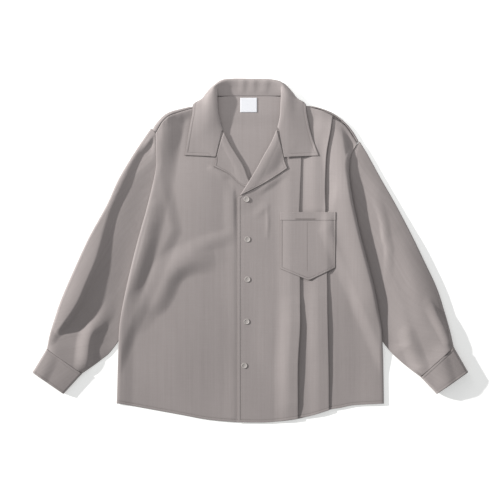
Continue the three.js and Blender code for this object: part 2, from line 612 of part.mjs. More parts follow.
// Three strips joined by pleats. Each pleat turns under at its edge, and back up further in.
function addLeftFront(rows, stripColumns, foldSteps) {
  const side = sideOf('right');
  const crest = (v) => side(v).crest;
  const [first, second] = pleats.map((pleat) => (v) => {
    const y = lerp(pleat[0].y, pleat[pleat.length - 1].y, v);
    return [pleatAt(pleat, y).x, y];
  });
  const turnedUnder = (line) => (v) => [line(v)[0] - pleatIntake, line(v)[1]];
  const strip = (left, right, low, high) => ({
    left, right,
    bottom: curve([left(0), ...low, right(0)]),
    top: curve([left(1), ...high, right(1)]),
  });
  const strips = [
    strip(frontInnerEdge('right'), first, [[41, -386]], [[100, 337]]),
    strip(turnedUnder(first), second, [[130, -373]], [[155, 316]]),
    strip(turnedUnder(second), crest, [[200, -354], [230, -348]], [[209, 284]]),
  ];
  const over = [90, 45, 0, -45, -90].map(THREE.MathUtils.degToRad);
  const under = [90, 135, 180, 225].map(THREE.MathUtils.degToRad);
  const grid = range(rows, (v) => {
    const row = [];
    strips.forEach(({ left, right, bottom, top }, k) => {
      const rise = (x, y) => (k < 2
        ? pleatAt(pleats[k], y).lift * (1 - smooth(pleatFlat, pleatReach, right(v)[0] - x)) : 0);
      const points = range(stripColumns[k], (u) => {
        const [x, y] = patchPoint(bottom, top, left, right, u, v);
        return [x, y, frontHeight('right', x, y) + rise(x, y)];
      });
      if (k > 0) {
        const [foldX, foldY] = [first, second][k - 1](v);
        const [x, y, lower] = points[0];
        const upper = row.pop()[2];
        for (const angle of over) {
          const [out, up] = [turn * Math.cos(angle), turn * Math.sin(angle)];
          row.push([foldX - turn + out, foldY, upper - turn + up]);
        }
        for (const angle of under) {
          row.push([x + turn * Math.cos(angle), y, lower + turn + turn * Math.sin(angle)]);
        }
      }
      row.push(...points);
    });
    const { edge, inward, inset, endAngle } = side(v);
    const low = sideFoldLow(edge[0] - inset / 2, edge[1]);
    const fold = foldRound(edge, inward, inset, row[row.length - 1][2], low, endAngle, foldSteps);
    return [...row, ...fold.reverse().slice(1)];
  });
  addCloth('front_left', grid);
}

// The back: flat under the fronts, raised over sleeves and collar, turned up over the shoulders.
function addBack(rows, columns, wrapSteps) {
  const sideEdge = (name, sign, underarm) => polyline([
    ...pairs(sideFold[name]).filter(([, y]) => y < 45).map(([x, y]) => [x - sign * edgeInset, y]),
    underarm,
    ...backArmhole[name],
  ]);
  const left = sideEdge('left', -1, sideTurn.left);
  const right = sideEdge('right', 1, sideTurn.right);
  const seams = [pairs(shoulder.left), pairs(shoulder.right).reverse()];
  const neck = [[-40, 346], [40, 346]];
  const top = curve([
    left(1), ...seams[0].slice(1), ...neck, ...seams[1].slice(0, -1), right(1),
  ]);
  const bottom = curve([left(0), ...pairs(hem).slice(1, -1), right(0)]);
  const sheet = range(rows, (v) => range(columns, (u) => {
    const [x, y] = patchPoint(bottom, top, left, right, u, v);
    return [x, y, backHeight(x, y)];
  }));
  const wraps = range(wrapSteps, (t) => range(columns, (u, j) => {
    const [x, y, z] = sheet[rows - 1][j];
    const inward = inwardOf(top, u, true);
    if (Math.abs(x) < neckWide) return [x - inward[0] * neckLap * t, y - inward[1] * neckLap * t, z];
    const flat = seamStrips.reduce((sum, { wide, from, to }) => sum
      + wide * smooth(...from, x) * (to ? 1 - smooth(...to, x) : 1), 0);
    const radius = Math.max((shoulderRise(x) + floorLevel - z) / 2, shoulderBend);
    const [out, turned] = [flat + shoulderLap, Math.PI * radius];
    const s = t * (out + turned + flat);
    const angle = clamp((s - out) / radius, 0, Math.PI);
    const back = Math.max(s - out - turned, 0);
    const away = s < out ? s : out + radius * Math.sin(angle) - back;
    return [x - inward[0] * away, y - inward[1] * away, z + radius * (1 - Math.cos(angle))];
  }));
  addCloth('back', [...sheet, ...wraps.slice(1)]);
}

// One ring of a tube that lies flat: level below, a half turn at each edge, topHeight above.
// headCurve, where given, is the edge that the ring follows by the share nearHead.
function tubeRing(outer, inner, topHeight, counts, headCurve = null, nearHead = 0) {
  const wide = Math.hypot(inner[0] - outer[0], inner[1] - outer[1]);
  const at = (away) => {
    const share = away / wide;
    const place = [lerp(outer[0], inner[0], share), lerp(outer[1], inner[1], share)];
    if (!headCurve) return place;
    const [line, start, end] = [headCurve(clamp(share, 0, 1)), headCurve(0), headCurve(1)];
    return place.map((value, k) => value + (line[k] - lerp(start[k], end[k], share)) * nearHead);
  };
  const { at: beside, least, most } = ringEnd;
  const endSize = (away) => clamp((topHeight(...at(away)) - floorLevel) / 2, least, most);
  const [ro, ri] = [endSize(beside), endSize(wide - beside)];
  const shares = range(counts.flat, (share) => share);
  const ring = shares.map((share) => [...at(lerp(ro, wide - ri, share)), floorLevel]);
  for (const [centre, radius, sign] of [[wide - ri, ri, 1], [ro, ro, -1]]) {
    const high = topHeight(...at(centre)) - floorLevel;
    for (let k = 1; k < counts.end; k += 1) {
      const angle = sign * ((Math.PI * k) / counts.end - Math.PI / 2);
      const place = at(centre + sign * radius * Math.cos(angle));
      ring.push([...place, floorLevel + (high * (1 + Math.sin(angle))) / 2]);
    }
    if (sign > 0) {
      for (const share of shares) {
        const [x, y] = at(lerp(wide - ri, ro, share));
        ring.push([x, y, topHeight(x, y)]);
      }
    }
  }
  return ring;
}

// Middle of a sleeve's upper wall: low where the body lies on it, domed and ridged outside.
function sleeveHeight(name, dome, outer, inner, x, y) {
  const fold = sideFold[name];
  const edge = spline(fold.map((row) => row.y), fold.map((row) => Math.abs(row.x)), y);
  const outside = Math.abs(x) - edge + sideFree.wide * smooth(sideFree.from, sideFree.to, y);
  const wide = Math.hypot(inner[0] - outer[0], inner[1] - outer[1]);
  const across = clamp(Math.hypot(x - outer[0], y - outer[1]) / wide, 0, 1);
  const body = dome * (1 - Math.abs(2 * across - 1) ** 4 + outerSwell * (1 - across) ** 4);
  const atHead = smooth(...sleeveClear.between, y);
  const [near, far] = [0, 1].map((k) => lerp(sleeveClear.body[k], sleeveClear.head[k], atHead));
  const clear = smooth(near, far, outside);
  const free = body * domeShare + ridgeHeight(sleeveRidges, x, y);
  return sleeveLayer + lerp(armholeRise(name, y), free, clear);
}

function addSleeve(name, node, rows, counts) {
  const at = sleeveSections[name].map((_, i) => i);
  const column = (key) => sleeveSections[name].map((row) => row[key]);
  const head = curve(sleeveHead[name]);
  const grid = range(rows, (t) => {
    const s = t * (at.length - 1);
    const value = (key) => spline(at, column(key), s);
    const [outer, inner] = [[value('ox'), value('oy')], [value('ix'), value('iy')]];
    const top = (x, y) => sleeveHeight(name, value('high'), outer, inner, x, y);
    return tubeRing(outer, inner, top, counts, head, 1 - smooth(0, headShare, t));
  });
  addCloth(node, grid, shirting, true);
}

function addCuff(name, node, rows, counts) {
  const { top, end, high } = cuffs[name];
  const grid = range(rows, (t) => {
    const outer = [0, 1].map((k) => lerp(top[0][k], end[0][k], t));
    const inner = [0, 1].map((k) => lerp(top[1][k], end[1][k], t));
    const wide = Math.hypot(inner[0] - outer[0], inner[1] - outer[1]);
    const dome = (x, y) => {
      const across = Math.hypot(x - outer[0], y - outer[1]) / wide;
      return floorLevel + high * (1 - cuffFall * (2 * across - 1) ** 2);
    };
    return tubeRing(outer, inner, dome, counts);
  });
  addCloth(node, grid, shirting, true);
}

// One collar band: stand up to the roll, over its crest, and down the fall to the edge.
function addCollar(rows, columns) {
  const at = collarSections.map((_, i) => i);
  const column = (key, k) => collarSections.map((section) => section[sectionPoints.indexOf(key)][k]);
  const tucks = collarSections.map((section) => section[sectionPoints.length]);
  const grid = range(rows, (t) => {
    const s = t * (at.length - 1);
    const points = sectionPoints.map((key) => [0, 1, 2].map((k) => spline(at, column(key, k), s)));
    const tuck = clamp(spline(at, tucks, s), 0, 1);
    const [fold, edge] = points.slice(3);
    const middle = lerp(fallMiddle.free, fallMiddle.tucked, tuck);
    const under = [0, 1, 2].map((k) => lerp(fold[k], edge[k], middle));
    under[2] = lerp(under[2], edge[2], tuck);
    const section = [...points.slice(0, 4), under, edge];
    const [soft, straight] = [curve(section), polyline(section)];
    const atEnd = 1 - smooth(0, gorgeShareOfCollar, Math.min(t, 1 - t));
    return range(columns, (u) => {
      const [bent, flat] = [soft(u), straight(u)];
      const [x, y, z] = bent.map((value, k) => lerp(value, flat[k], atEnd * smooth(0.1, 0.25, u)));
      if (u < collarTuck.across || tuck > collarTuck.least) return [x, y, Math.max(z, floorLevel)];
      const side = x < 0 ? 'left' : 'right';
      const below = frontHeight(side, x, y) + (x < 0 ? 0 : pleatRise(x, y));
      return [x, y, Math.max(z, below + layer + collarClear)];
    });
  });
  addCloth('collar', grid);
}

// A lapel: the facing turned outwards from the roll line to its outer edge.
function addLapel(side, node, rows, columns, curlSteps) {
  const { lower, outer, gorge } = lapelEdge[side];
  const roll = curve(lapelRoll[side].map(({ x, y, z }) => [x, y, z]));
  const out = side === 'left' ? -1 : 1;
  const beside = ([x, y], away) => [x + out * rollOut * away, y - rollDown * away];
  const sheetStart = (v) => beside(roll(v), rollRadius(roll(v)[2]));
  const bottom = curve([sheetStart(0), ...lower.slice(1)]);
  const top = curve([sheetStart(1), ...gorge.slice(1)]);
  const outerLine = curve(outer);
  const grid = range(rows, (v) => {
    const place = roll(v);
    const radius = rollRadius(place[2]);
    const sheet = range(columns, (u) => {
      const [x, y] = patchPoint(bottom, top, sheetStart, outerLine, u, v);
      const under = frontHeight(side, x, y) + (side === 'right' ? pleatRise(x, y) : 0);
      const lying = under + layer + lapelClear;
      const crest = place[2] + lapelSwell * Math.sin(Math.PI * Math.min(u * lapelBend.rise, 1));
      return [x, y, Math.max(lerp(crest, lying + notchLift * v, smooth(0, lapelBend.reach, u)), lying)];
    });
    const curl = range(curlSteps, (t) => {
      const angle = lerp(curlEnd, Math.PI / 2, t);
      const z = place[2] - radius + radius * Math.sin(angle);
      return [...beside(place, radius * (1 - Math.cos(angle))), z];
    });
    return [...curl.slice(0, -1), ...sheet];
  });
  addCloth(node, grid);
}

// Middle of the pocket's wall: level over the pleats, nearer the front at its sides.
function pocketHeight(x, y) {
  const [first, second] = pleats.map((pleat) => pleatAt(pleat, clamp(y, pleatEnd, pocketTop)).x);
  const beyond = clamp((x - second - 1) / pocketFall.wide, 0, 1);
  const lift = smooth(first - pleatReach, first - pleatFlat, x) - pocketFall.share * beyond;
  return frontHeight('right', x, y) + pocketLift * lift + layer + pocketClear;
}

function addPocket(rows, columns) {
  const foot = polyline(pocketFoot);
  const [left, right] = pocketSides;
  const edges = [
    foot,
    (u) => [lerp(left, right, u), pocketTop],
    (v) => [lerp(foot(0)[0], left, v), lerp(foot(0)[1], pocketTop, v)],
    (v) => [lerp(foot(1)[0], right, v), lerp(foot(1)[1], pocketTop, v)],
  ];
  addCloth('pocket', range(rows, (v) => range(columns, (u) => {
    const [x, y] = patchPoint(...edges, u, v);
    return [x, y, pocketHeight(x, y)];
  })));
  addCloth('pocket_band', range(3, (v) => range(columns, (u) => {
    const [x, y] = [lerp(left + bandInset, right - bandInset, u), pocketTop - pocketHem * (1 - v)];
    return [x, y, pocketHeight(x, y) + layer + bandClear];
  })));
}

function addLabel() {
  const { left, right, low, high } = labelBox;
  addCloth('neck_label', range(4, (v) => range(4, (u) => {
    const [x, y] = [lerp(left, right, u), lerp(low, high, v)];
    return [x, y, backHeight(x, y) + wall + seamGap];
  })), labelCloth);
}

function addButtons() {
  const outline = buttonProfile.map(([r, h]) => new THREE.Vector2(r * buttonRadius, h * buttonThick));
  buttonPlaces.forEach(([x, y], i) => {
    const geometry = new THREE.LatheGeometry(outline, 12);
    geometry.rotateX(Math.PI / 2);
    const under = range(9, (t) => {
      const [c, s] = [Math.cos(2 * Math.PI * t), Math.sin(2 * Math.PI * t)];
      return frontHeight('right', x + buttonRadius * c, y + buttonRadius * s);
    });
    geometry.translate(x, y, Math.max(...under, frontHeight('right', x, y)) + wall / 2 + seamGap);
    const mesh = new THREE.Mesh(geometry, shell);
    mesh.name = `button_${i + 1}`;
    group.add(mesh);
  });
}

addBack(22, 23, 9);
addRightFront(19, 19, 6);
addLeftFront(19, [9, 6, 9], 6);
addSleeve('left', 'sleeve_right', 18, { flat: 11, end: 4 });
addSleeve('right', 'sleeve_left', 16, { flat: 9, end: 4 });
addCuff('left', 'cuff_right', 3, { flat: 6, end: 4 });
addCuff('right', 'cuff_left', 3, { flat: 6, end: 4 });
addCollar(33, 12);
addLapel('left', 'lapel_right', 9, 7, 5);
addLapel('right', 'lapel_left', 9, 7, 5);
addPocket(9, 11);
addLabel();
addButtons();

export default group;
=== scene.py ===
import math

import bpy
import numpy as np
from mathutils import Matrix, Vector


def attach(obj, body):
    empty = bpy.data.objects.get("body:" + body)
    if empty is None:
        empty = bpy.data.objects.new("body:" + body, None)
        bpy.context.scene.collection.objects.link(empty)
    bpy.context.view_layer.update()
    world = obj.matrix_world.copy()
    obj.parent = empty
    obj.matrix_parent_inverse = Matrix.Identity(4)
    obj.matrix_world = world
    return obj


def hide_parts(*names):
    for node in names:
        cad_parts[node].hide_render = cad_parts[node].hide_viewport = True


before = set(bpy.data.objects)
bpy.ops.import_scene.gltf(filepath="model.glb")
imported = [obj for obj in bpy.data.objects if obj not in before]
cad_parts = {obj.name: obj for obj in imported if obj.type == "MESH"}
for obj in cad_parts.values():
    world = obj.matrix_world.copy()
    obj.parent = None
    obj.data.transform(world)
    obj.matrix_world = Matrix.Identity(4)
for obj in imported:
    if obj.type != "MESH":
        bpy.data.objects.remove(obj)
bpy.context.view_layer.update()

# The back is one cut piece of taupe-grey shirting that lies flat on the floor. It rises over the
# tucked sleeves and collar, and turns up over the shoulders to a forward seam.
MM = 0.001
WALL, SEAM_GAP = 0.9, 0.25  # cloth thickness and the space left at a seam
LAYER = WALL + SEAM_GAP
FLOOR = WALL / 2  # middle of a wall that lies on the floor
BACK_LIFT, COLLAR_LIFT = 4, 2.3
EDGE_INSET = 3  # of the back's edge from the side folds of the fronts
# a tucked sleeve's inner edge runs from the underarm to where it leaves the body; higher up it
# stands in by the inset, and leans in by the lean for each mm of height
UNDERARM, SLEEVE_EXIT = (181, 57), (297, -212)
TUCK_INSET, TUCK_LEAN = 6, 0.2
# distances, heights and widths over which the back comes down from what is tucked under it
SLEEVE_STEP, UNDERARM_STEP = (4, 34), (110, 180)
COLLAR_STEP, NECK_STEP = (275, 312), (112, 140)
SIDE_FOLD = {
    "left": [
        (-300, -344), (-299, -307), (-296, -213), (-293, -164), (-284, -111), (-268, -39),
        (-251, 28), (-232, 96), (-215, 167), (-211, 192), (-212, 216), (-212, 240), (-212.5, 262),
    ],
    "right": [
        (300, -344), (299, -273), (297, -209), (295, -177), (287, -131), (279, -89), (268, -44),
        (250, 24), (242, 57), (230, 112), (222, 168), (223, 195), (229, 220), (239.8, 241),
    ],
}
HEM = [
    (-300, -344), (-239, -354), (-157, -369), (-97, -380), (-28, -386), (41, -386), (110, -378),
    (179, -358), (230, -348), (300, -344),
]
HEM_LOW = HEM[5][1]
BACK_NECK = [(-40, 346), (40, 346)]
SIDE_TURN = {"left": (-238, 48), "right": (240, 48)}  # the back's edge turns here to the armhole
SHOULDER = {
    "left": [
        (-209, 268), (-205, 276), (-196, 290), (-183, 301.5), (-167, 308), (-138, 317),
        (-114, 323), (-89, 340),
    ],
    "right": [
        (242, 243.5), (228, 263.5), (210.7, 285.6), (184, 305.8), (155.5, 317.6), (135.3, 321.8),
        (114, 324), (89, 340),
    ],
}
# plan x and the height of the shoulder seam there
SHOULDER_RISE = [
    (-212, 11), (-206, 13), (-197, 14.5), (-186, 14), (-167, 9), (-150, 6.5), (-135, 5),
    (-118, 4.4), (118, 4.4), (135, 4.4), (155, 4.6), (183, 4.6), (206, 4.8), (226, 4.8), (242, 4.4),
]
BACK_ARMHOLE = {
    "left": [(-184, 84), (-190, 112), (-201, 167), (-206, 205), (-208, 235), (-209.5, 266)],
    "right": [(189, 84), (199, 112), (213, 160), (215, 190), (221, 209), (231, 225), (240, 242.5)],
}
# the flat strip over a shoulder seam: extra width, and the two x between which it comes in
SEAM_STRIPS = [(3.5, -196, -209), (1.5, -120, -140), (-1.5, -165, -185), (1.2, 205, 236)]
WRAP_LEFT, WRAP_RIGHT, WRAP_BEND = 1.4, 0.8, 0.9  # width beside the seam, least bend radius
NECK_REACH, NECK_TURN = 114, 1.2  # between the shoulders the edge only runs on flat


def lerp(a, b, t):
    """a at t 0 and b at t 1, straight between them."""
    return a + (b - a) * t


def smooth(start, end, value):
    """3 t^2 - 2 t^3 of the share t of the way from start to end: level at both ends."""
    t = np.clip((value - start) / (end - start), 0, 1)
    return t * t * (3 - 2 * t)


def bell(q):
    """(1 - q^2)^2 inside -1 to 1 and nothing outside."""
    return np.where(np.abs(q) < 1, (1 - q * q) ** 2, 0)


def soft_max(a, b, blend):
    """The larger of a and b, rounded where they cross: half of a + b + root((a-b)^2 + blend^2)."""
    return (a + b + np.sqrt((a - b) ** 2 + blend**2)) / 2


def spline(at, values, place):
    """Cubic through the rows of values at the places at; the slope at each is its neighbours'."""
    at, values = np.asarray(at, float), np.asarray(values, float)
    rows = values.reshape(len(at), -1)
    place = np.clip(np.asarray(place, float), at[0], at[-1])
    k, last = np.arange(len(at)), len(at) - 1
    low, high = np.maximum(k - 1, 0), np.minimum(k + 1, last)
    slope = (rows[high] - rows[low]) / (at[high] - at[low])[:, None]
    i = np.clip(np.searchsorted(at, place) - 1, 0, last - 1)
    span = (at[i + 1] - at[i])[..., None]
    t = (place - at[i])[..., None] / span
    made = (
        (2 * t**3 - 3 * t**2 + 1) * rows[i]
        + (t**3 - 2 * t**2 + t) * span * slope[i]
        + (3 * t**2 - 2 * t**3) * rows[i + 1]
        + (t**3 - t**2) * span * slope[i + 1]
    )
    return made.reshape(place.shape + values.shape[1:])


def follow(at, points):
    """Straight stretches through points, as a function of the place along at."""
    return lambda place: np.stack([np.interp(place, at, c) for c in points.T], -1)


def lengths(points):
    """Distance run along a line of points, from 0 at the first."""
    steps = np.linalg.norm(np.diff(points, axis=0), axis=-1)
    return np.concatenate([np.zeros((1,) + steps.shape[1:]), np.cumsum(steps, axis=0)])


def curve(points):
    """A smooth curve through points, as a function of the share of its length."""
    points = np.asarray(points, float)
    at = lengths(points)
    return lambda t: spline(at, points, np.asarray(t, float) * at[-1])


def polyline(points):
    """Straight stretches through points, as a function of the share of their length."""
    points = np.asarray(points, float)
    at = lengths(points)
    return lambda t: follow(at, points)(np.asarray(t) * at[-1])


def patch(bottom, top, left, right, u, v):
    """Plan points between four edge curves: both straight blends less the corners' blend."""
    uu, vv = u[None, :, None], v[:, None, None]
    corners = lerp(lerp(bottom(0.0), bottom(1.0), uu), lerp(top(0.0), top(1.0), uu), vv)
    across = lerp(left(v)[:, None], right(v)[:, None], uu)
    return lerp(bottom(u)[None], top(u)[None], vv) + across - corners


def sleeve_away(x, y):
    """Signed distance from a tucked sleeve's inner edge, positive towards the body's middle."""
    (ux, uy), (ex, ey) = UNDERARM, SLEEVE_EXIT
    long = math.hypot(ex - ux, ey - uy)
    away = ((ux - np.abs(x)) * (uy - ey) - (y - uy) * (ex - ux)) / long
    return np.maximum(away, ux + TUCK_INSET + TUCK_LEAN * (y - uy) - np.abs(x))


def back_height(x, y):
    """Middle of the back's wall: on the floor, raised over the sleeves and the collar's tuck."""
    over_sleeve = (1 - smooth(*SLEEVE_STEP, sleeve_away(x, y))) * (1 - smooth(*UNDERARM_STEP, y))
    over_collar = smooth(*COLLAR_STEP, y) * (1 - smooth(*NECK_STEP, np.abs(x)))
    return FLOOR + BACK_LIFT * over_sleeve + COLLAR_LIFT * over_collar


def shoulder_rise(x):
    """Height of the shoulder seam over the floor's layer, larger away from the neck."""
    at, rise = np.array(SHOULDER_RISE).T
    return np.interp(x, at, rise)


def inward(points, to_right):
    """Unit vectors square to a line of plan points, to its right or its left."""
    along = np.gradient(points, axis=0)
    along /= np.linalg.norm(along, axis=-1, keepdims=True)
    sign = 1 if to_right else -1
    return sign * np.stack([along[..., 1], -along[..., 0]], -1)


def shell(grid, thick=WALL, cloth=None, closed=False, painted_shade=0.0, bulge=0.35):
    """A closed wall round a grid of points: each point moved half the thickness along the
    normal and against it, and a rim that stands out by bulge times the thickness. closed joins
    the last column to the first. Painted shade may be given for each point: darkness laid into
    the colour where a seam's groove or an edge holds shadow. Returns vertices, quads, the
    quads' UVs in mm, that painted shade for each vertex, and the upper grid."""
    rows, columns = grid.shape[:2]
    if closed:
        across = np.roll(grid, -1, 1) - np.roll(grid, 1, 1)
    else:
        across = np.gradient(grid, axis=1)
    normal = np.cross(across, np.gradient(grid, axis=0))
    normal /= np.linalg.norm(normal, axis=2, keepdims=True)
    thick = np.broadcast_to(thick, (rows, columns))[..., None]
    upper, lower = grid + normal * thick / 2, grid - normal * thick / 2
    i, j = np.meshgrid(np.arange(rows), np.arange(columns), indexing="ij")
    inner = grid[np.clip(i, 1, rows - 2), j if closed else np.clip(j, 1, columns - 2)]
    out = grid - inner
    out /= np.maximum(np.linalg.norm(out, axis=2, keepdims=True), 1e-9)
    edge = grid + out * thick * bulge
    vertices = np.concatenate([a.reshape(-1, 3) for a in (upper, lower, edge)])
    painted_shade = np.tile(np.broadcast_to(painted_shade, (rows, columns)).ravel(), 3)
    count = rows * columns
    if cloth is None:
        cloth = grid[..., :2]
    wide = columns + 1 if closed else columns
    if closed:
        lap = np.linalg.norm(cloth[:, -1:] - cloth[:, -2:-1], axis=2, keepdims=True)
        cloth = np.concatenate([cloth, cloth[:, -1:] + lap * [1, 0]], 1)
    flat = cloth.reshape(-1, 2)

    def place(a, b):
        return a * columns + b % columns, a * wide + b

    a, b = np.meshgrid(np.arange(rows - 1), np.arange(wide - 1), indexing="ij")
    corners = [place(a.ravel() + da, b.ravel() + db) for da, db in ((0, 0), (0, 1), (1, 1), (1, 0))]
    quads = np.stack([corner[0] for corner in corners], 1)
    marks = np.stack([corner[1] for corner in corners], 1)
    faces = [quads, quads[:, ::-1] + count]
    uvs = [flat[marks], flat[marks[:, ::-1]]]
    run = np.arange(wide)
    runs = [(np.zeros(wide, int), run), (np.full(wide, rows - 1), run[::-1])]
    if not closed:
        runs += [
            (np.arange(rows)[::-1], np.zeros(rows, int)),
            (np.arange(rows), np.full(rows, columns - 1)),
        ]
    for a, b in runs:
        index, mark = place(a, b)
        p, q = index[:-1], index[1:]
        uv = flat[np.stack([mark[1:], mark[:-1], mark[:-1], mark[1:]], 1)]
        faces += [np.stack([q, p, p + 2 * count, q + 2 * count], 1)]
        faces += [np.stack([q + 2 * count, p + 2 * count, p + count, q + count], 1)]
        uvs += [uv, uv]
    used, uvs = np.concatenate(faces), np.concatenate(uvs)
    keep, new = np.unique(used, return_inverse=True)
    vertices, painted_shade, used = vertices[keep], painted_shade[keep], new.reshape(used.shape)
    a, b, c, d = (vertices[used[:, k]] for k in range(4))
    volume = (a * np.cross(b, c)).sum() + (a * np.cross(c, d)).sum()
    if volume < 0:
        used, uvs, upper = used[:, ::-1], uvs[:, ::-1], lower
    return vertices, used, uvs, painted_shade, upper


# share of a stitch's length, and of its radius, at each ring of its bar
STITCH_RINGS = [(-0.5, 0.25), (-0.36, 0.9), (0, 1.05), (0.36, 0.9), (0.5, 0.25)]


def stitches(line, pitch=3.2, length=2.3, radius=0.3, lift=0.1):
    """Short thread bars along a line of points: six-sided, fat in the middle, one each pitch."""
    at = lengths(line)
    count = max(int(at[-1] / pitch), 1)
    middle = (np.arange(count) + 0.5) * at[-1] / count
    place = follow(at, line)
    here, along = place(middle), place(middle + 1) - place(middle - 1)
    along /= np.linalg.norm(along, axis=1, keepdims=True)
    side = np.cross(np.broadcast_to([0.0, 0, 1], along.shape), along)
    side /= np.maximum(np.linalg.norm(side, axis=1, keepdims=True), 1e-6)
    up = np.cross(along, side)
    ring = np.linspace(0, 2 * np.pi, 7)[:-1]
    points = [
        here[:, None] + along[:, None] * share * length
        + (side[:, None] * np.cos(ring)[:, None] + up[:, None] * np.sin(ring)[:, None])
        * radius * fat + up[:, None] * lift
        for share, fat in STITCH_RINGS
    ]
    vertices = np.stack(points, 1).reshape(-1, 3)
    quads = []
    for r in range(len(STITCH_RINGS) - 1):
        for k in range(6):
            n = (k + 1) % 6
            quads.append((r * 6 + k, r * 6 + n, r * 6 + 6 + n, r * 6 + 6 + k))
    last = 6 * (len(STITCH_RINGS) - 1)
    for start, order in ((0, -1), (last, 1)):
        for ends in ((0, 1, 2, 3), (0, 3, 4, 5)):
            quads.append(tuple(start + k for k in ends[::order]))
    quads = np.asarray(quads)[None] + 6 * len(STITCH_RINGS) * np.arange(count)[:, None, None]
    quads = quads.reshape(-1, 4)
    return vertices, quads, vertices[quads][..., :2], np.zeros(len(vertices))


def new_object(name, data):
    """A new object at the origin that holds the data, in the scene."""
    made = bpy.data.objects.new(name, data)
    bpy.context.scene.collection.objects.link(made)
    return made


def piece(name, parts, materials):
    """One mesh object from parts in mm. Each part is the number of its material, and the
    vertices, quads, UVs and painted shade that shell or stitches made."""
    vertices, faces, uvs, finish, painted_shade, start = [], [], [], [], [], 0
    for k, made in parts:
        vertices.append(made[0])
        faces.append(made[1] + start)
        uvs.append(made[2].reshape(-1, 2))
        painted_shade.append(made[3])
        finish.append(np.full(len(made[1]), k))
        start += len(made[0])
    mesh = bpy.data.meshes.new(name)
    mesh.from_pydata((np.concatenate(vertices) * MM).tolist(), [], np.concatenate(faces).tolist())
    mesh.polygons.foreach_set("use_smooth", np.ones(len(mesh.polygons), bool))
    mesh.polygons.foreach_set("material_index", np.concatenate(finish))
    # the painted shade goes on the vertices, for the material to darken its colour with
    painted_shade_layer = mesh.attributes.new("painted_shade", "FLOAT", "POINT")
    painted_shade_layer.data.foreach_set("value", np.concatenate(painted_shade).astype(np.float32))
    layer = mesh.uv_layers.new(name="cloth")
    layer.data.foreach_set("uv", (np.concatenate(uvs) * MM).astype(np.float32).ravel())
    for material in materials:
        mesh.materials.append(material)
    return new_object(name, mesh)


class Socket:
    """A node's output that takes part in sums: each operator adds one Math node."""

    def __init__(self, tree, link):
        self.tree, self.link = tree, link

    def math(self, operation, *others):
        return self.tree.add("ShaderNodeMath", {"operation": operation}, (self, *others))

    def __add__(self, other):
        return self.math("ADD", other)

    def __sub__(self, other):
        return self.math("SUBTRACT", other)

    def __rsub__(self, other):
        return self.tree.add("ShaderNodeMath", {"operation": "SUBTRACT"}, (other, self))

    def __mul__(self, other):
        return self.math("MULTIPLY", other)

    __radd__, __rmul__ = __add__, __mul__


class Tree:
    """A material's nodes. add makes one node from its settings and the values of its sockets."""

    def __init__(self, name):
        self.material = bpy.data.materials.new(name)
        self.material.use_nodes = True
        self.tree = self.material.node_tree
        self.shader = self.tree.nodes["Principled BSDF"]

    def put(self, socket, value):
        if isinstance(value, Socket):
            self.tree.links.new(value.link, socket)
        elif value is not None:
            socket.default_value = value

    def add(self, kind, settings=None, inputs=(), output=0):
        node = self.tree.nodes.new(kind)
        for key, value in (settings or {}).items():
            setattr(node, key, value)
        pairs = inputs.items() if isinstance(inputs, dict) else enumerate(inputs)
        for key, value in pairs:
            self.put(node.inputs[key], value)
        return Socket(self, node.outputs[output])

    def set(self, **values):
        for key, value in values.items():
            self.put(self.shader.inputs[key.replace("_", " ")], value)
        return self.material

    def mix(self, factor, a, b):
        node = self.tree.nodes.new("ShaderNodeMix")
        node.data_type = "RGBA"
        for key, value in ((0, factor), (6, a), (7, b)):
            self.put(node.inputs[key], value)
        return Socket(self, node.outputs[2])


def noise(tree, coordinates, scale, detail=2.0, roughness=0.5):
    """Noise from 0 to 1 on coordinates in metres, scale being its number of cells a metre."""
    spread = tree.add("ShaderNodeMapping", {}, {"Vector": coordinates, "Scale": scale})
    return tree.add(
        "ShaderNodeTexNoise", {},
        {"Vector": spread, "Scale": 1.0, "Detail": detail, "Roughness": roughness},
    )


WARP_PITCH, RIB_PITCH, RIB_SLANT = 0.00085, 0.0011, 0.8  # metres
CLOTH_DARK, CLOTH_PALE = (0.235, 0.208, 0.202, 1), (0.352, 0.316, 0.308, 1)
PAINTED_SHADE_COLOR = (0.12, 0.104, 0.1, 1)  # painted shade, laid into the colour where a seam's groove or a turned edge holds shadow
THREAD_PITCH, THREAD_DARK, THREAD_PALE = 0.0009, (0.27, 0.24, 0.235, 1), (0.36, 0.33, 0.32, 1)


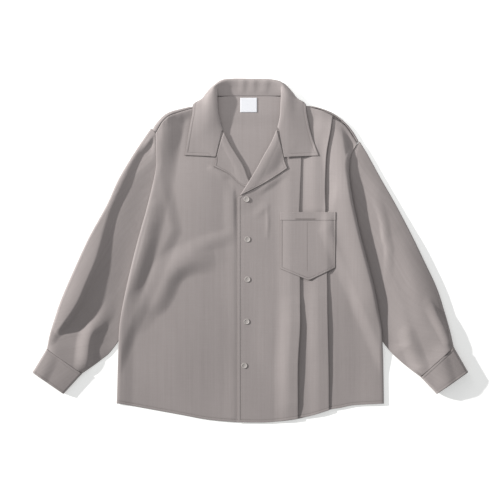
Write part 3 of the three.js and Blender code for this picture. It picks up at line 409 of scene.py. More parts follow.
def make_shirting():
    """Taupe-grey twill: sines for warp and ribs, and noise drawn out along the warp for slubs
    and streaks and along the weft for picks, summed to a tone between two greys."""
    tree = Tree("shirting")
    uv = tree.add("ShaderNodeUVMap", {"uv_map": "cloth"})
    apart = tree.add("ShaderNodeSeparateXYZ", {}, (uv,))
    u, v = apart, Socket(tree, apart.link.node.outputs[1])
    warp = (u * (math.tau / WARP_PITCH)).math("SINE")
    rib = ((u + v * RIB_SLANT) * (math.tau / RIB_PITCH)).math("SINE")
    slub = noise(tree, uv, (620, 9, 1), 3.0, 0.6)
    streak = noise(tree, uv, (150, 2.5, 1), 2.0, 0.5)
    weft = noise(tree, uv, (25, 700, 1), 2.0, 0.5)
    cloud = noise(tree, uv, (14, 9, 1), 3.0, 0.5)
    tone = (
        0.5 + (slub - 0.5) * 0.4 + (streak - 0.5) * 0.3 + (weft - 0.5) * 0.25
        + (cloud - 0.5) * 0.3 + rib * 0.05 + warp * 0.03
    )
    # Painted shade: where the vertices carry it, the tone is darkened towards the shade colour,
    # standing in for the shadow in seam grooves and along edges.
    painted_shade = tree.add("ShaderNodeAttribute", {"attribute_name": "painted_shade"}, output=2)
    color = tree.mix(painted_shade, tree.mix(tone, CLOTH_DARK, CLOTH_PALE), PAINTED_SHADE_COLOR)
    height = rib * 0.35 + warp * 0.2 + slub * 1.1 + weft * 0.5
    bump = tree.add(
        "ShaderNodeBump", {}, {"Strength": 0.35, "Distance": 0.00025, "Height": height}
    )
    return tree.set(
        Base_Color=color, Roughness=0.9, Normal=bump, Sheen_Weight=0.12, Sheen_Roughness=0.6,
        Specular_IOR_Level=0.25,
    )


def make_thread():
    """Sewing thread a shade lighter than the cloth, with a faint twist."""
    tree = Tree("thread")
    place = tree.add("ShaderNodeTexCoord", output=3)
    apart = tree.add("ShaderNodeSeparateXYZ", {}, (place,))
    y = Socket(tree, apart.link.node.outputs[1])
    twist = ((apart + y) * (math.tau / THREAD_PITCH)).math("SINE")
    color = tree.mix(0.5 + twist * 0.3, THREAD_DARK, THREAD_PALE)
    return tree.set(Base_Color=color, Roughness=0.6)


shirting, thread = make_shirting(), make_thread()


def edge_points(name, sign):
    """Edge of the back: inside the side fold, under the arm, then along the armhole."""
    turn = SIDE_TURN[name]
    side = [(x - sign * EDGE_INSET, y) for x, y in SIDE_FOLD[name] if y < turn[1]]
    return polyline([*side, turn, *BACK_ARMHOLE[name]])


def make_back(rows, columns, wraps):
    """A patch between hem, sides and neck, then a roll over each shoulder to the seam."""
    left, right = edge_points("left", -1), edge_points("right", 1)
    seams = [SHOULDER["left"], SHOULDER["right"][::-1]]
    top = curve([left(1.0), *seams[0][1:], *BACK_NECK, *seams[1][:-1], right(1.0)])
    bottom = curve([left(0.0), *HEM[1:-1], right(0.0)])
    u, v = np.linspace(0, 1, columns), np.linspace(0, 1, rows)
    plan = patch(bottom, top, left, right, u, v)
    x, y = plan[..., 0], plan[..., 1]
    sheet = np.dstack([x, y, back_height(x, y)])
    x, y, z = sheet[-1].T
    to_middle = inward(top(u), True)
    t = np.linspace(0, 1, wraps)[1:, None]
    strip = sum(wide * smooth(start, end, x) for wide, start, end in SEAM_STRIPS)
    radius = np.maximum((shoulder_rise(x) + FLOOR - z) / 2, WRAP_BEND)
    out = strip + np.where(x < 0, WRAP_LEFT, WRAP_RIGHT)
    s = t * (out + np.pi * radius + strip)
    angle = np.clip((s - out) / radius, 0, np.pi)
    away = np.where(
        s < out, s, out + radius * np.sin(angle) - np.maximum(s - out - np.pi * radius, 0)
    )
    rise = radius * (1 - np.cos(angle))
    flat = np.abs(x) < NECK_REACH
    away, rise = np.where(flat, NECK_TURN * t, away), np.where(flat, 0, rise)
    roll = np.dstack([x - to_middle[:, 0] * away, y - to_middle[:, 1] * away, z + rise])
    return np.concatenate([sheet, roll])


back_wall = shell(make_back(100, 140, 14))
back = piece("back_cloth", [(0, back_wall)], [shirting])
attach(back, "root")
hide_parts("back")

# The wearer's right front is a plain panel of shirting, sewn to the back at the side and
# shoulder. It lies under the other front at the buttons, and its side turns under in a fold.
BREAK_SHARE, GORGE_SHARE = 12 / 18, 16 / 18  # of the front edge's rows
UNDER_EDGE, PLACKET_EDGE = 13, -28
FRONT_CLEAR = 0.3  # more than the seam gap between a front and what it lies on
ROLL_BEND = (0.11, 0.8, 1.8)  # share of the crest's height, least and largest radius
FACING_GAP = 1.6  # from the rolled facing to the cloth below it
ROLL_SIDE = np.array([0.86, -0.5])  # square to both roll lines, out from the neck
NECK_ROLL = 10  # height of a roll line where it meets the shoulder
# distances from the front edge, the roll line and the shoulder seam over which folds come in
EDGE_CALM, ROLL_CALM, SEAM_CALM = (20, 60), (2, 48), (1, 24)
SLEEVE_LAYER = 2.4  # height of a sleeve's upper cloth where the body covers it
SLEEVE_REACH = (-240, -212)  # heights between which the sleeves come to lie beside the body
SLEEVE_EXTRA = 0.4
# a side fold turns in over the inset down to the end angle; the pairs are for the side and for
# the armhole, which it changes to over the step, and near the shoulder it turns to the corner
FOLD_INSET, FOLD_END, ARMHOLE_STEP, CORNER_STEP = (7, 12), (-1.2, 0.1), (150, 205), (-44, -4)
LAPEL_ROLL = {
    "left": [
        (5, 143, 4.0), (-4, 160, 4.4), (-15, 189, 4.8), (-29, 212, 5.2), (-46, 239, 5.4),
        (-59, 265, 6),
    ],
    "right": [
        (-22, 125, 7), (-3, 155, 8.4), (13, 181, 10), (31, 214, 11.2), (47, 242, 12.2),
        (59, 270, 13),
    ],
}
NECK_EDGE = {
    "left": [(-67, 269), (-79, 281), (-86, 304), (-89, 326), (-89, 340)],
    "right": [(67, 274), (79, 283), (84, 304), (87, 326), (89, 340)],
}
# crest points x, y and height, and the fold's widths to the left and right of its crest
BODY_FOLDS = [
    ([(-191, 298, 8), (-194, 282, 11.5), (-200, 254, 12.5), (-204, 229, 11.5), (-208, 206, 9.5),
      (-212, 180, 7.5), (-219, 145, 5), (-230, 105, 4), (-238, 78, 2)], 36, 48),
    ([(-220, 92, 3), (-233, 45, 7), (-248, -10, 8.6), (-262, -55, 8.8), (-278, -100, 6.5),
      (-288, -140, 3.8), (-293, -185, 2.8), (-295, -260, 2.4), (-296, -335, 2.2)], 22, 36),
    ([(-80, -14, 0.6), (-104, -19, 3.2), (-136, -24, 6), (-164, -36, 7.4), (-186, -60, 7.2),
      (-201, -94, 6.2), (-214, -114, 5.4), (-232, -126, 4.2), (-250, -152, 2)], 46, 36),
    ([(-126, 12, 0.8), (-95, 20, 1.9), (-60, 29, 1.7), (-36, 35, 0.8)], 24, 20),
    ([(198, 296, 3), (205, 264, 7), (209, 235, 9.5), (214, 208, 11), (219, 178, 11.5),
      (224, 149, 10.5), (231, 110, 8), (240, 69, 7), (252, 24, 7.5), (262, -20, 8),
      (270, -60, 8), (278, -110, 8), (286, -165, 2.8), (289, -205, 1.4), (291, -335, 1.4)],
     56, 16),
    ([(38.5, 98, 0.4), (39.5, 60, 1.1), (37.5, 28, 0.4)], 5, 5),
    ([(-8, 78, 0.4), (12, 82, 1.5), (34, 98, 0.8)], 12, 16),
    ([(74, 176, 1), (50, 157, 2.6), (25, 141, 2.4), (-4, 130, 1)], 22, 15),
]
# beside the front edge, and below the wearer's right lapel
RIGHT_FRONT_FOLDS = [
    ([(-40, 146, 0.4), (-39, 120, 2), (-38, 60, 1.9), (-37, 30, 1), (-36.6, -60, 0.7),
      (-36.6, -370, 0.6)], 24, 9),
    ([(-85, 186, 1), (-62, 172, 1.7), (-45, 165, 1.2), (-30, 150, 1.7), (-15, 138, 0.6)], 16, 4.5),
]
BODY_DOMES = [
    (-120, 120, 110, 170, 5), (-150, -200, 130, 170, 3), (130, -190, 170, 200, 2.5),
    (215, 60, 90, 250, 3),
]


def nearest(line, x, y):
    """Distance to a line of plan points, its sign by side, and the share of the line there."""
    line = np.asarray(line, float)
    start, step = line[:-1], np.diff(line, axis=0)
    dx, dy = x[..., None] - start[:, 0], y[..., None] - start[:, 1]
    t = np.clip((dx * step[:, 0] + dy * step[:, 1]) / (step**2).sum(1), 0, 1)
    away = np.hypot(dx - t * step[:, 0], dy - t * step[:, 1])
    side = (step[:, 0] * dy - step[:, 1] * dx) / np.hypot(step[:, 0], step[:, 1])
    best = away.argmin(-1)[..., None]
    share = (np.arange(len(step)) + t) / len(step)
    return [np.take_along_axis(a, best, -1)[..., 0] for a in (away, side, share)]


def fold_height(folds, x, y):
    """Sum of folds: each full on its line, gone by (1 - q^2)^2 at its width on either side."""
    total = np.zeros(np.shape(x))
    for line, left, right in folds:
        points = curve(line)(np.linspace(0, 1, 6 * len(line)))
        away, side, share = nearest(points[:, :2], x, y)
        high = np.interp(share, np.linspace(0, 1, len(points)), points[:, 2])
        turned = 0.5 + 0.5 * side / np.maximum(away, 1e-6)
        width = lerp(left, right, np.clip(turned, 0, 1))
        total += high * bell(away / width)
    return total


def dome_height(domes, x, y):
    """Sum of soft domes by (1 - q^2)^2 of the distance in half widths."""
    return sum(
        high * bell(np.hypot((x - cx) / wide, (y - cy) / long)) for cx, cy, wide, long, high in domes
    )


def roll_radius(z):
    """Radius of a lapel's roll where its crest is z high: a share of z, within two limits."""
    share, least, most = ROLL_BEND
    return np.clip(share * z, least, most)


def front_height(side, x, y):
    """Middle of a front's wall: the back below it with domes and folds, drawn to the roll line
    and to the shoulder seam."""
    base = back_height(x, y) + (2 * LAYER if side == "right" else LAYER) + FRONT_CLEAR
    calm = smooth(*EDGE_CALM, x + 20 if side == "right" else -x)
    z = base + calm * (dome_height(BODY_DOMES, x, y) + fold_height(BODY_FOLDS, x, y))
    if side == "left":
        z = z + fold_height(RIGHT_FRONT_FOLDS, x, y)
    roll = np.array([*LAPEL_ROLL[side], (*NECK_EDGE[side][3], NECK_ROLL)], float)
    fine = curve(roll)(np.linspace(0, 1, 40))
    away, _, share = nearest(fine[:, :2], x, y)
    high = np.interp(share, np.linspace(0, 1, len(fine)), fine[:, 2])
    under = high - 2 * roll_radius(high)
    z = lerp(np.maximum(under, base), z, smooth(*ROLL_CALM, away))
    seam_away = nearest(SHOULDER[side], x, y)[0]
    return lerp(FLOOR + shoulder_rise(x), z, smooth(*SEAM_CALM, seam_away))


# y and the height of a sleeve's upper cloth along the armhole
ARMHOLE_RISE = {
    "left": [(140, 0), (180, 3), (210, 6), (235, 8), (262, 8)],
    "right": [(140, 0), (175, 1.6), (205, 2.6), (225, 2.4), (245, 1.2)],
}


def armhole_rise(name, y):
    """Height of the armhole seam at y over the layer of the tucked sleeve."""
    at, rise = np.array(ARMHOLE_RISE[name]).T
    return spline(at, rise, y)


def side_fold_low(x, y):
    """Where a side fold ends: on the back, or on the sleeve beside the armhole."""
    sleeve = lerp(FLOOR, SLEEVE_LAYER + SLEEVE_EXTRA, smooth(*SLEEVE_REACH, y))
    sleeve = sleeve + armhole_rise("left" if x[0] < 0 else "right", y)
    return np.maximum(back_height(x, y), sleeve) + LAYER


def side_line(name, v, to_right):
    """A side fold's plan points, inward directions, inset and the angle where it ends, and the
    plan of its crest as a function of the share v."""
    line = curve(SIDE_FOLD[name])
    edge = line(v)
    fine = np.linspace(0, 1, 201)
    square = follow(fine, inward(line(fine), to_right))(v)
    corner = np.array(SHOULDER[name][1], float) - SIDE_FOLD[name][-1]
    near_corner = smooth(*CORNER_STEP, edge[:, 1:] - edge[-1, 1])
    square = lerp(square, corner / np.linalg.norm(corner), near_corner)
    square /= np.linalg.norm(square, axis=1, keepdims=True)
    armhole = smooth(*ARMHOLE_STEP, edge[:, 1])
    inset = lerp(*FOLD_INSET, armhole)
    crest = follow(v, edge + square * inset[:, None])
    return edge, square, inset, lerp(*FOLD_END, armhole), crest


def side_fold(edge, square, inset, end_angle, high, steps):
    """Quarter turns from the crest of a front out to its side fold and under it."""
    low = side_fold_low(edge[:, 0] + square[:, 0] * inset / 2, edge[:, 1])
    angle = lerp(end_angle[:, None], np.pi / 2, np.linspace(0, 1, steps)[None])
    away = inset[:, None] * (1 - np.cos(angle))
    rise = ((high - low) / (1 - np.sin(end_angle)))[:, None]
    return np.dstack([
        edge[:, :1] + square[:, :1] * away, edge[:, 1:] + square[:, 1:] * away,
        high[:, None] - rise * (1 - np.sin(angle)),
    ])


def beside_roll(place, side, away):
    """Plan points away mm from points of a roll line, out from the neck."""
    return place[..., :2] + ROLL_SIDE * (-1 if side == "left" else 1, 1) * away


def inner_edge(side):
    """Edge of a front's cloth: the front edge, then the roll line, then the neck seam."""
    roll = np.array(LAPEL_ROLL[side], float)
    roll = beside_roll(roll, side, roll_radius(roll[:, 2:]) + FACING_GAP)
    start = UNDER_EDGE if side == "left" else PLACKET_EDGE
    edge = polyline([(start, HEM_LOW), (start, roll[0, 1] - 5), roll[0]])
    fold, neck = curve(roll), curve([roll[-1], *NECK_EDGE[side]])

    def at(v):
        v = np.asarray(v, float)
        low = edge(np.clip(v / BREAK_SHARE, 0, 1))
        middle = fold(np.clip((v - BREAK_SHARE) / (GORGE_SHARE - BREAK_SHARE), 0, 1))
        high = neck(np.clip((v - GORGE_SHARE) / (1 - GORGE_SHARE), 0, 1))
        v = v[..., None]
        return np.where(v <= BREAK_SHARE, low, np.where(v <= GORGE_SHARE, middle, high))

    return at


LEAST_STEP = 0.35  # between the rows of points of a grid


def spaced(count, length, low=(), high=()):
    """Shares from 0 to 1 in even steps, with finer ones at the given mm from either end."""
    shares = np.concatenate([
        np.linspace(0, 1, count), np.asarray(low) / length, 1 - np.asarray(high) / length
    ])
    shares = np.unique(np.round(shares, 7))
    even = np.isin(shares, np.round(np.linspace(0, 1, count), 7))
    keep = [0]
    for k in range(1, len(shares)):
        if shares[k] - shares[keep[-1]] > LEAST_STEP / length:
            keep.append(k)
        elif even[k]:
            keep[-1] = k
    return shares[keep]


HEM_DEPTH, EDGE_DEPTH = 5.6, 5.0


def fine_at(depth):
    """Distances from an edge where a grid needs points for a row of stitching at that depth."""
    near = (-1.8, -0.9, -0.4, 0.0, 0.4, 0.9, 1.8, 4.0)
    return (0.6, 1.4, 2.4, *(depth + step for step in near))


SEAM_WIDE, RIM_WIDE = 0.8, 0.7  # half widths of the groove at a seam and of the painted shade at an edge


def sewn_shell(grid, away, depth, puff=0.5, dip=0.6, dark=0.5, rim=0.5, thick=WALL, **more):
    """A shell with a turned edge: fuller by puff between edge and stitching, and thinner by dip
    in a groove exp(-q^2) along the stitching. Painted shade darkens the groove as much as
    dark says and the edge as much as rim says, where shadow gathers in them."""
    line = np.exp(-(((away - depth) / SEAM_WIDE) ** 2))
    edge = np.exp(-((away / RIM_WIDE) ** 2))
    full = puff * smooth(0, 1.2, away) * (1 - smooth(depth - 0.5, depth + 1.0, away))
    # painted shade: darkness laid into the colour in the groove and at the edge
    painted_shade = np.maximum(dark * line, rim * edge)
    return shell(grid, thick + full - dip * line, painted_shade=painted_shade, **more)


def front_right_grid(rows, columns, steps):
    """Patch from the side fold's crest to the front edge and roll line, with the side fold."""
    v = spaced(rows, 700, fine_at(HEM_DEPTH))
    edge, square, inset, end_angle, crest = side_line("left", v, True)
    inner = inner_edge("left")
    bottom = curve([crest(0.0), *HEM[1:5], (UNDER_EDGE, HEM_LOW)])
    top = curve([crest(1.0), *SHOULDER["left"][1:]])
    u = spaced(columns, 300)
    plan = patch(bottom, top, crest, inner, u, v)
    x, y = plan[..., 0], plan[..., 1]
    sheet = np.dstack([x, y, front_height("left", x, y)])
    fold = side_fold(edge, square, inset, end_angle, sheet[:, 0, 2], steps)
    return np.concatenate([fold[:, :-1], sheet], 1)


def from_low(grid):
    """Plan distance of each point from its column's first point."""
    return lengths(grid[..., :2])


def from_left(grid):
    """Distance of each point from its row's first point."""
    return lengths(np.swapaxes(grid, 0, 1)).T


def row_at(away, depth):
    """Number of the row or column whose distance is nearest to the stitching's depth."""
    return np.abs(away - depth).argmin()


grid = front_right_grid(181, 101, 12)
hem_away = from_low(grid)
wall = sewn_shell(grid, hem_away, HEM_DEPTH)
hem_row = row_at(hem_away[:, 60], HEM_DEPTH)
front_right = piece(
    "front_right_cloth", [(0, wall), (1, stitches(wall[4][hem_row, 14:]))], [shirting, thread]
)
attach(front_right, "root")
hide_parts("front_right")

# The wearer's left front is a panel of shirting that lies on top, with two knife pleats pressed
# from shoulder to hem. Its front edge is turned and topstitched, and the buttons stand on it.
PLEAT_INTAKE, TURN = 15, 0.55  # width folded under, and radius of the turned cloth
PLACKET_DEPTH = 6.5
PLEAT_REACH, PLEAT_FLAT = 55, 18  # a pleat lifts the cloth over the one width, fully over the other
BREAK_HEIGHT = 116  # the placket is stitched up to here
# fold edge x, y and its height over the cloth under it
PLEATS = [
    [
        (107, -378, 2.3), (107, -340, 4.5), (107, -255, 6.2), (112, -169, 6), (112, -125, 4.5),
        (112, -96, 3), (110, 86, 2.9), (111, 114, 2.7), (115, 212, 2.3), (119, 329, 2.3),
    ],
    [
        (177, -359, 2.3), (176, -255, 3.4), (174, -169, 4.2), (173, -110, 3.8), (173, -80, 2.9),
        (169, 84, 2.9), (169, 94, 4.6), (168, 140, 5.2), (171, 216, 5.6), (180, 269, 5),
        (185, 303, 2.4),
    ],
]


def pleat_at(pleat, y):
    """Fold edge and lift of a pleat at height y: a cubic, and a lift that never overshoots."""
    x_at, y_at, lift = np.array(pleat, float).T
    i = np.clip(np.searchsorted(y_at, y) - 1, 0, len(y_at) - 2)
    return spline(y_at, x_at, y), lerp(lift[i], lift[i + 1], smooth(y_at[i], y_at[i + 1], y))


def pleat_rise(x, y):
    """Rise of the left front towards the edge of the pleat on its right."""
    rise, free = np.zeros(np.shape(x)), np.ones(np.shape(x), bool)
    for pleat in PLEATS:
        edge, lift = pleat_at(pleat, y)
        here = free & (x <= edge + 0.01)
        rise = np.where(here, lift * (1 - smooth(PLEAT_FLAT, PLEAT_REACH, edge - x)), rise)
        free &= ~here
    return rise


def front_left_grid(rows, strips_wide, steps):
    """Three patches joined by the pleats' turned folds, then the side fold."""
    v = spaced(rows, 700, fine_at(HEM_DEPTH))
    edge, square, inset, end_angle, crest = side_line("right", v, False)
    inner = inner_edge("right")

    def pleat_line(pleat, shift=0):
        def at(t):
            y = lerp(pleat[0][1], pleat[-1][1], np.asarray(t, float))
            return np.stack([pleat_at(pleat, y)[0] - shift, y], -1)
        return at

    lines = [pleat_line(pleat) for pleat in PLEATS]
    tucked = [pleat_line(pleat, PLEAT_INTAKE) for pleat in PLEATS]
    strips = [
        (inner, lines[0], [HEM[5]], [(100, 337)]),
        (tucked[0], lines[1], [(130, -373)], [(155, 316)]),
        (tucked[1], crest, [(200, -354), HEM[8]], [(209, 284)]),
    ]
    parts = []
    for k, (left, right, low, high) in enumerate(strips):
        u = spaced(strips_wide[k], 140, fine_at(PLACKET_DEPTH) if k == 0 else ())
        bottom = curve([left(0.0), *low, right(0.0)])
        top = curve([left(1.0), *high, right(1.0)])
        plan = patch(bottom, top, left, right, u, v)
        x, y = plan[..., 0], plan[..., 1]
        z = front_height("right", x, y)
        if k < 2:
            lift = pleat_at(PLEATS[k], y)[1]
            z = z + lift * (1 - smooth(PLEAT_FLAT, PLEAT_REACH, right(v)[:, :1] - x))
        strip = np.dstack([x, y, z])
        if k > 0:
            fold = lines[k - 1](v)
            over, under = np.radians(np.linspace(90, -90, 9)), np.radians(np.linspace(90, 225, 7))
            upper, lower = parts[-1][:, -1:, 2], strip[:, :1, 2]
            parts[-1] = parts[-1][:, :-1]
            turned = fold[:, :1] - TURN + TURN * np.cos(over)
            parts.append(np.dstack([
                turned, np.repeat(fold[:, 1:], len(over), 1), upper - TURN + TURN * np.sin(over)
            ]))
            turned = strip[:, :1, 0] + TURN * np.cos(under)
            parts.append(np.dstack([
                turned, np.repeat(strip[:, :1, 1], len(under), 1),
                lower + TURN + TURN * np.sin(under),
            ]))
        parts.append(strip)
    fold = side_fold(edge, square, inset, end_angle, parts[-1][:, -1, 2], steps)
    return np.concatenate([*parts, fold[:, ::-1][:, 1:]], 1)


grid = front_left_grid(181, [42, 30, 46], 12)
hem_away = from_low(grid)
edge_away = from_left(grid[..., :2])
near_edge = np.minimum(hem_away + PLACKET_DEPTH - HEM_DEPTH, edge_away)
wall = sewn_shell(grid, near_edge, PLACKET_DEPTH, puff=0.35)
hem_row = row_at(hem_away[:, 20], HEM_DEPTH)
edge_column = row_at(edge_away[60], PLACKET_DEPTH)
front_rows = grid[:, 0, 1] < BREAK_HEIGHT
front_left = piece(
    "front_left_cloth",
    [
        (0, wall), (1, stitches(wall[4][hem_row, edge_column:34])),
        (1, stitches(wall[4][hem_row:, edge_column][front_rows[hem_row:]])),
    ],
    [shirting, thread],
)
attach(front_left, "root")
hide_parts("front_left")

# Each sleeve is a tapering tube of shirting, sewn into the armhole. It lies half under the body,
# domed and ridged where it is free, and flat where the body covers it.
SLEEVES = {  # outer x, y, inner x, y and dome height of each section, armhole to cuff
    "left": [
        (-223, 274.5, -182, 57, 9), (-260.5, 219.5, -197, 19, 7), (-296, 160, -217, -26, 6),
        (-322, 103, -234, -66, 6), (-362, 30, -259, -125, 6), (-398, -48, -284, -182, 6),
        (-425, -111, -313, -226, 6), (-439, -152, -336, -246, 7), (-450, -187, -356, -261, 9),
        (-457, -221, -378, -276, 16),
    ],
    "right": [
        (246, 244.3, 182, 57, 6), (263.5, 216, 197, 19, 7), (292, 164, 217, -26, 8),
        (324, 108, 234, -66, 9), (359, 42, 259, -125, 11), (391, -24, 284, -182, 13),
        (419, -84, 311, -222, 15), (436, -136, 336, -247, 17), (448, -178, 359, -266, 21),
        (457, -217, 383, -284, 30),
    ],
}
ARMHOLE = {  # plan of each sleeve's head from the shoulder to the underarm
    "left": [
        (-223, 274.5), (-217.5, 270), (-212.6, 266.6), (-213, 258), (-212.5, 250), (-212, 240),
        (-211, 215), (-207.5, 190), (-203.5, 167), (-192.5, 112), (-182, 57),
    ],
    "right": [
        (246, 244.3), (240.5, 239), (236, 233), (232, 226), (222.5, 209), (217.5, 190),
        (215.5, 160), (201.5, 112), (182, 57),
    ],
}
HEAD_SHARE = 0.3  # of the sleeve's length, over which its rings turn to the armhole's line
OUT_SHARE = 0.92  # of the distance out from the side fold, where the body covers the sleeve
BELOW_BODY, BELOW_WIDE = (-205, -250), 40  # below these heights the whole sleeve comes clear
OUTER_SWELL, FREE_SHARE = 0.45, 0.6  # of the dome's height
HEAD_HEIGHT = (150, 215)  # heights between which the sleeve's head begins
CLEAR_LOW, CLEAR_HEAD = (4, 62), (0.5, 13)  # distances out over which a sleeve comes clear
FLAT_STEPS, TURN_STEPS = 80, 12
SLEEVE_FOLDS = [
    ([(-236, 246, 5), (-262, 213, 7), (-290, 155, 8), (-318, 93, 8), (-333, 43, 8.5),
      (-341, 11, 9.5), (-352, -26, 11.5), (-367, -62, 14), (-391, -118, 17), (-415, -154, 17.5),
      (-430, -172, 11), (-441, -184, 3)], 84, 19),
    ([(-300, -120, 1.5), (-314, -142, 4), (-336, -168, 6.5), (-354, -182, 7.5),
      (-363, -205, 7.5), (-368, -247, 6), (-372, -270, 4)], 30, 16),
    ([(-214.5, 262, 1.2), (-228, 243, 2.4), (-240, 225, 1)], 10, 4),
    ([(280, 112, 0.5), (296, 68, 1.8), (302, 24, 2.4), (308, 6, 2), (305, -62, 0.8)], 9, 18),
    ([(330, 40, 1), (352, 0, 3), (378, -90, 4), (402, -180, 2)], 40, 60),
    ([(404, -118, 1), (419, -146, 4), (434, -172, 4.5), (448, -200, 3)], 22, 10),
    ([(352, -190, 2), (378, -262, 4)], 24, 26),
]


TUBE_EDGE = (0.85, 7)  # least and largest half turn at a tube's edges
TURN_INSET = 6.0  # a half turn is as high as the tube is this far in


def tube(outer, inner, top, flat, end, head=None, near_head=0.0):
    """Rings of a tube lying on the floor: flat below, a half turn at each edge, and its upper
    side at the height that top gives. outer and inner are its edges' plan points. head is a
    curve that the rings follow as near_head, one number a ring, goes to 1."""
    wide = np.linalg.norm(inner - outer, axis=1)[:, None]

    def at(away):
        share = away / wide
        x, y = (lerp(outer[:, k : k + 1], inner[:, k : k + 1], share) for k in (0, 1))
        if head is not None:
            line = head(np.clip(share, 0, 1))
            base = [lerp(outer[:1, k], inner[:1, k], share) for k in (0, 1)]
            x = x + (line[..., 0] - base[0]) * near_head
            y = y + (line[..., 1] - base[1]) * near_head
        return x, y

    def radius(away):
        return np.clip((top(*at(away)) - FLOOR) / 2, *TUBE_EDGE)

    ro, ri = radius(np.full(wide.shape, TURN_INSET)), radius(wide - TURN_INSET)
    share = np.linspace(0, 1, flat)[None]
    x, y = at(lerp(ro, wide - ri, share))
    parts = [np.dstack([x, y, np.full(x.shape, FLOOR)])]
    angle = (np.arange(1, end) * np.pi / end - np.pi / 2)[None]
    for centre, size, sign in ((wide - ri, ri, 1), (ro, ro, -1)):
        high = top(*at(centre)) - FLOOR
        turned = sign * angle
        x, y = at(centre + sign * size * np.cos(turned))
        parts.append(np.dstack([x, y, FLOOR + high * (1 + np.sin(turned)) / 2]))
        if sign > 0:
            x, y = at(lerp(wide - ri, ro, share))
            parts.append(np.dstack([x, y, top(x, y)]))
    return np.concatenate(parts, 1)


def share_across(x, y, outer, inner):
    """Share of the way across a tube's rings from their outer edge."""
    wide = np.linalg.norm(inner - outer, axis=1)[:, None]
    return np.hypot(x - outer[:, :1], y - outer[:, 1:]) / wide


def sleeve_height(name, dome, outer, inner, x, y):
    """Middle of a sleeve's upper wall: low under the body, and outside it a dome by
    1 - (2 s - 1)^4 of the share s across, swelled by (1 - s)^4 outwards, with its folds."""
    fold = np.array(SIDE_FOLD[name], float)
    edge = spline(fold[:, 1], np.abs(fold[:, 0]), y)
    outside = (np.abs(x) - edge) * np.where(y > SLEEVE_EXIT[1], OUT_SHARE, 1)
    outside = outside + BELOW_WIDE * smooth(*BELOW_BODY, y)
    across = np.clip(share_across(x, y, outer, inner), 0, 1)
    body = dome * (1 - np.abs(2 * across - 1) ** 4) + dome * OUTER_SWELL * (1 - across) ** 4
    at_head = smooth(*HEAD_HEIGHT, y)
    start, end = (lerp(low, head, at_head) for low, head in zip(CLEAR_LOW, CLEAR_HEAD))
    clear = smooth(start, end, outside)
    free = body * FREE_SHARE + fold_height(SLEEVE_FOLDS, x, y)
    return SLEEVE_LAYER + lerp(armhole_rise(name, y), free, clear)


def around(grid):
    """UVs of a tube: the way round each ring, and the way along."""
    ring = from_left(grid)
    return np.dstack([ring, lengths(grid)[:, :1] + 0 * ring])


for name, node in (("left", "sleeve_right"), ("right", "sleeve_left")):
    table = np.array(SLEEVES[name], float)
    t = np.linspace(0, 1, 151)
    section = spline(np.arange(len(table)), table, t * (len(table) - 1))
    outer, inner, dome = section[:, :2], section[:, 2:4], section[:, 4:]
    grid = tube(
        outer, inner, lambda x, y: sleeve_height(name, dome, outer, inner, x, y), FLAT_STEPS,
        TURN_STEPS, curve(ARMHOLE[name]), (1 - smooth(0, HEAD_SHARE, t))[:, None],
    )
    wall = shell(grid, cloth=around(grid), closed=True)
    sleeve = piece(f"{node}_cloth", [(0, wall)], [shirting])
    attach(sleeve, "root")
    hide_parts(node)

# The cuffs are doubled bands of the same shirting. They are sewn round the sleeve ends,
# topstitched near both edges, and lie closed and flat.
CUFFS = {  # upper outer and inner corner, lower outer and inner corner, height
    "left": ((-457.3, -221.6), (-378.4, -276.6), (-489, -274), (-420, -322), 12.5),
    "right": ((457.3, -217.6), (383.4, -284.6), (489, -273), (419, -322), 21),
}
CUFF_FOLDS = [
    ([(-455, -250, 2.4), (-473, -283, 3)], 34, 24), ([(430, -250, 2), (442, -290, 2.4)], 34, 22),
]
CUFF_DROP = 0.25  # share of its height by which a cuff is lower at both edges
for name, node in (("left", "cuff_right"), ("right", "cuff_left")):
    corners = np.array(CUFFS[name][:4], float)
    high = CUFFS[name][4]
    long = np.linalg.norm(corners[2] - corners[0])
    t = spaced(13, long, fine_at(EDGE_DEPTH), fine_at(EDGE_DEPTH))[:, None]
    outer, inner = lerp(corners[0], corners[2], t), lerp(corners[1], corners[3], t)

    def dome(x, y):
        """Height of the cuff's upper wall, lower by (2 s - 1)^2 of the share s across."""
        lower = CUFF_DROP * (2 * share_across(x, y, outer, inner) - 1) ** 2
        return FLOOR + high * (1 - lower) + fold_height(CUFF_FOLDS, x, y)

    grid = tube(outer, inner, dome, 30, 12)
    down = from_low(grid)
    near_edge = np.minimum(down, down[-1] - down)
    # The cuff's stitch grooves take less painted shade than the other seams.
    wall = sewn_shell(grid, near_edge, EDGE_DEPTH, dark=0.2, cloth=around(grid), closed=True)
    rows = [row_at(down[:, 5], EDGE_DEPTH), row_at(down[-1, 5] - down[:, 5], EDGE_DEPTH)]
    cuff = piece(
        f"{node}_cloth", [(0, wall)] + [(1, stitches(wall[4][row])) for row in rows],
        [shirting, thread],
    )
    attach(cuff, "root")
    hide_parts(node)

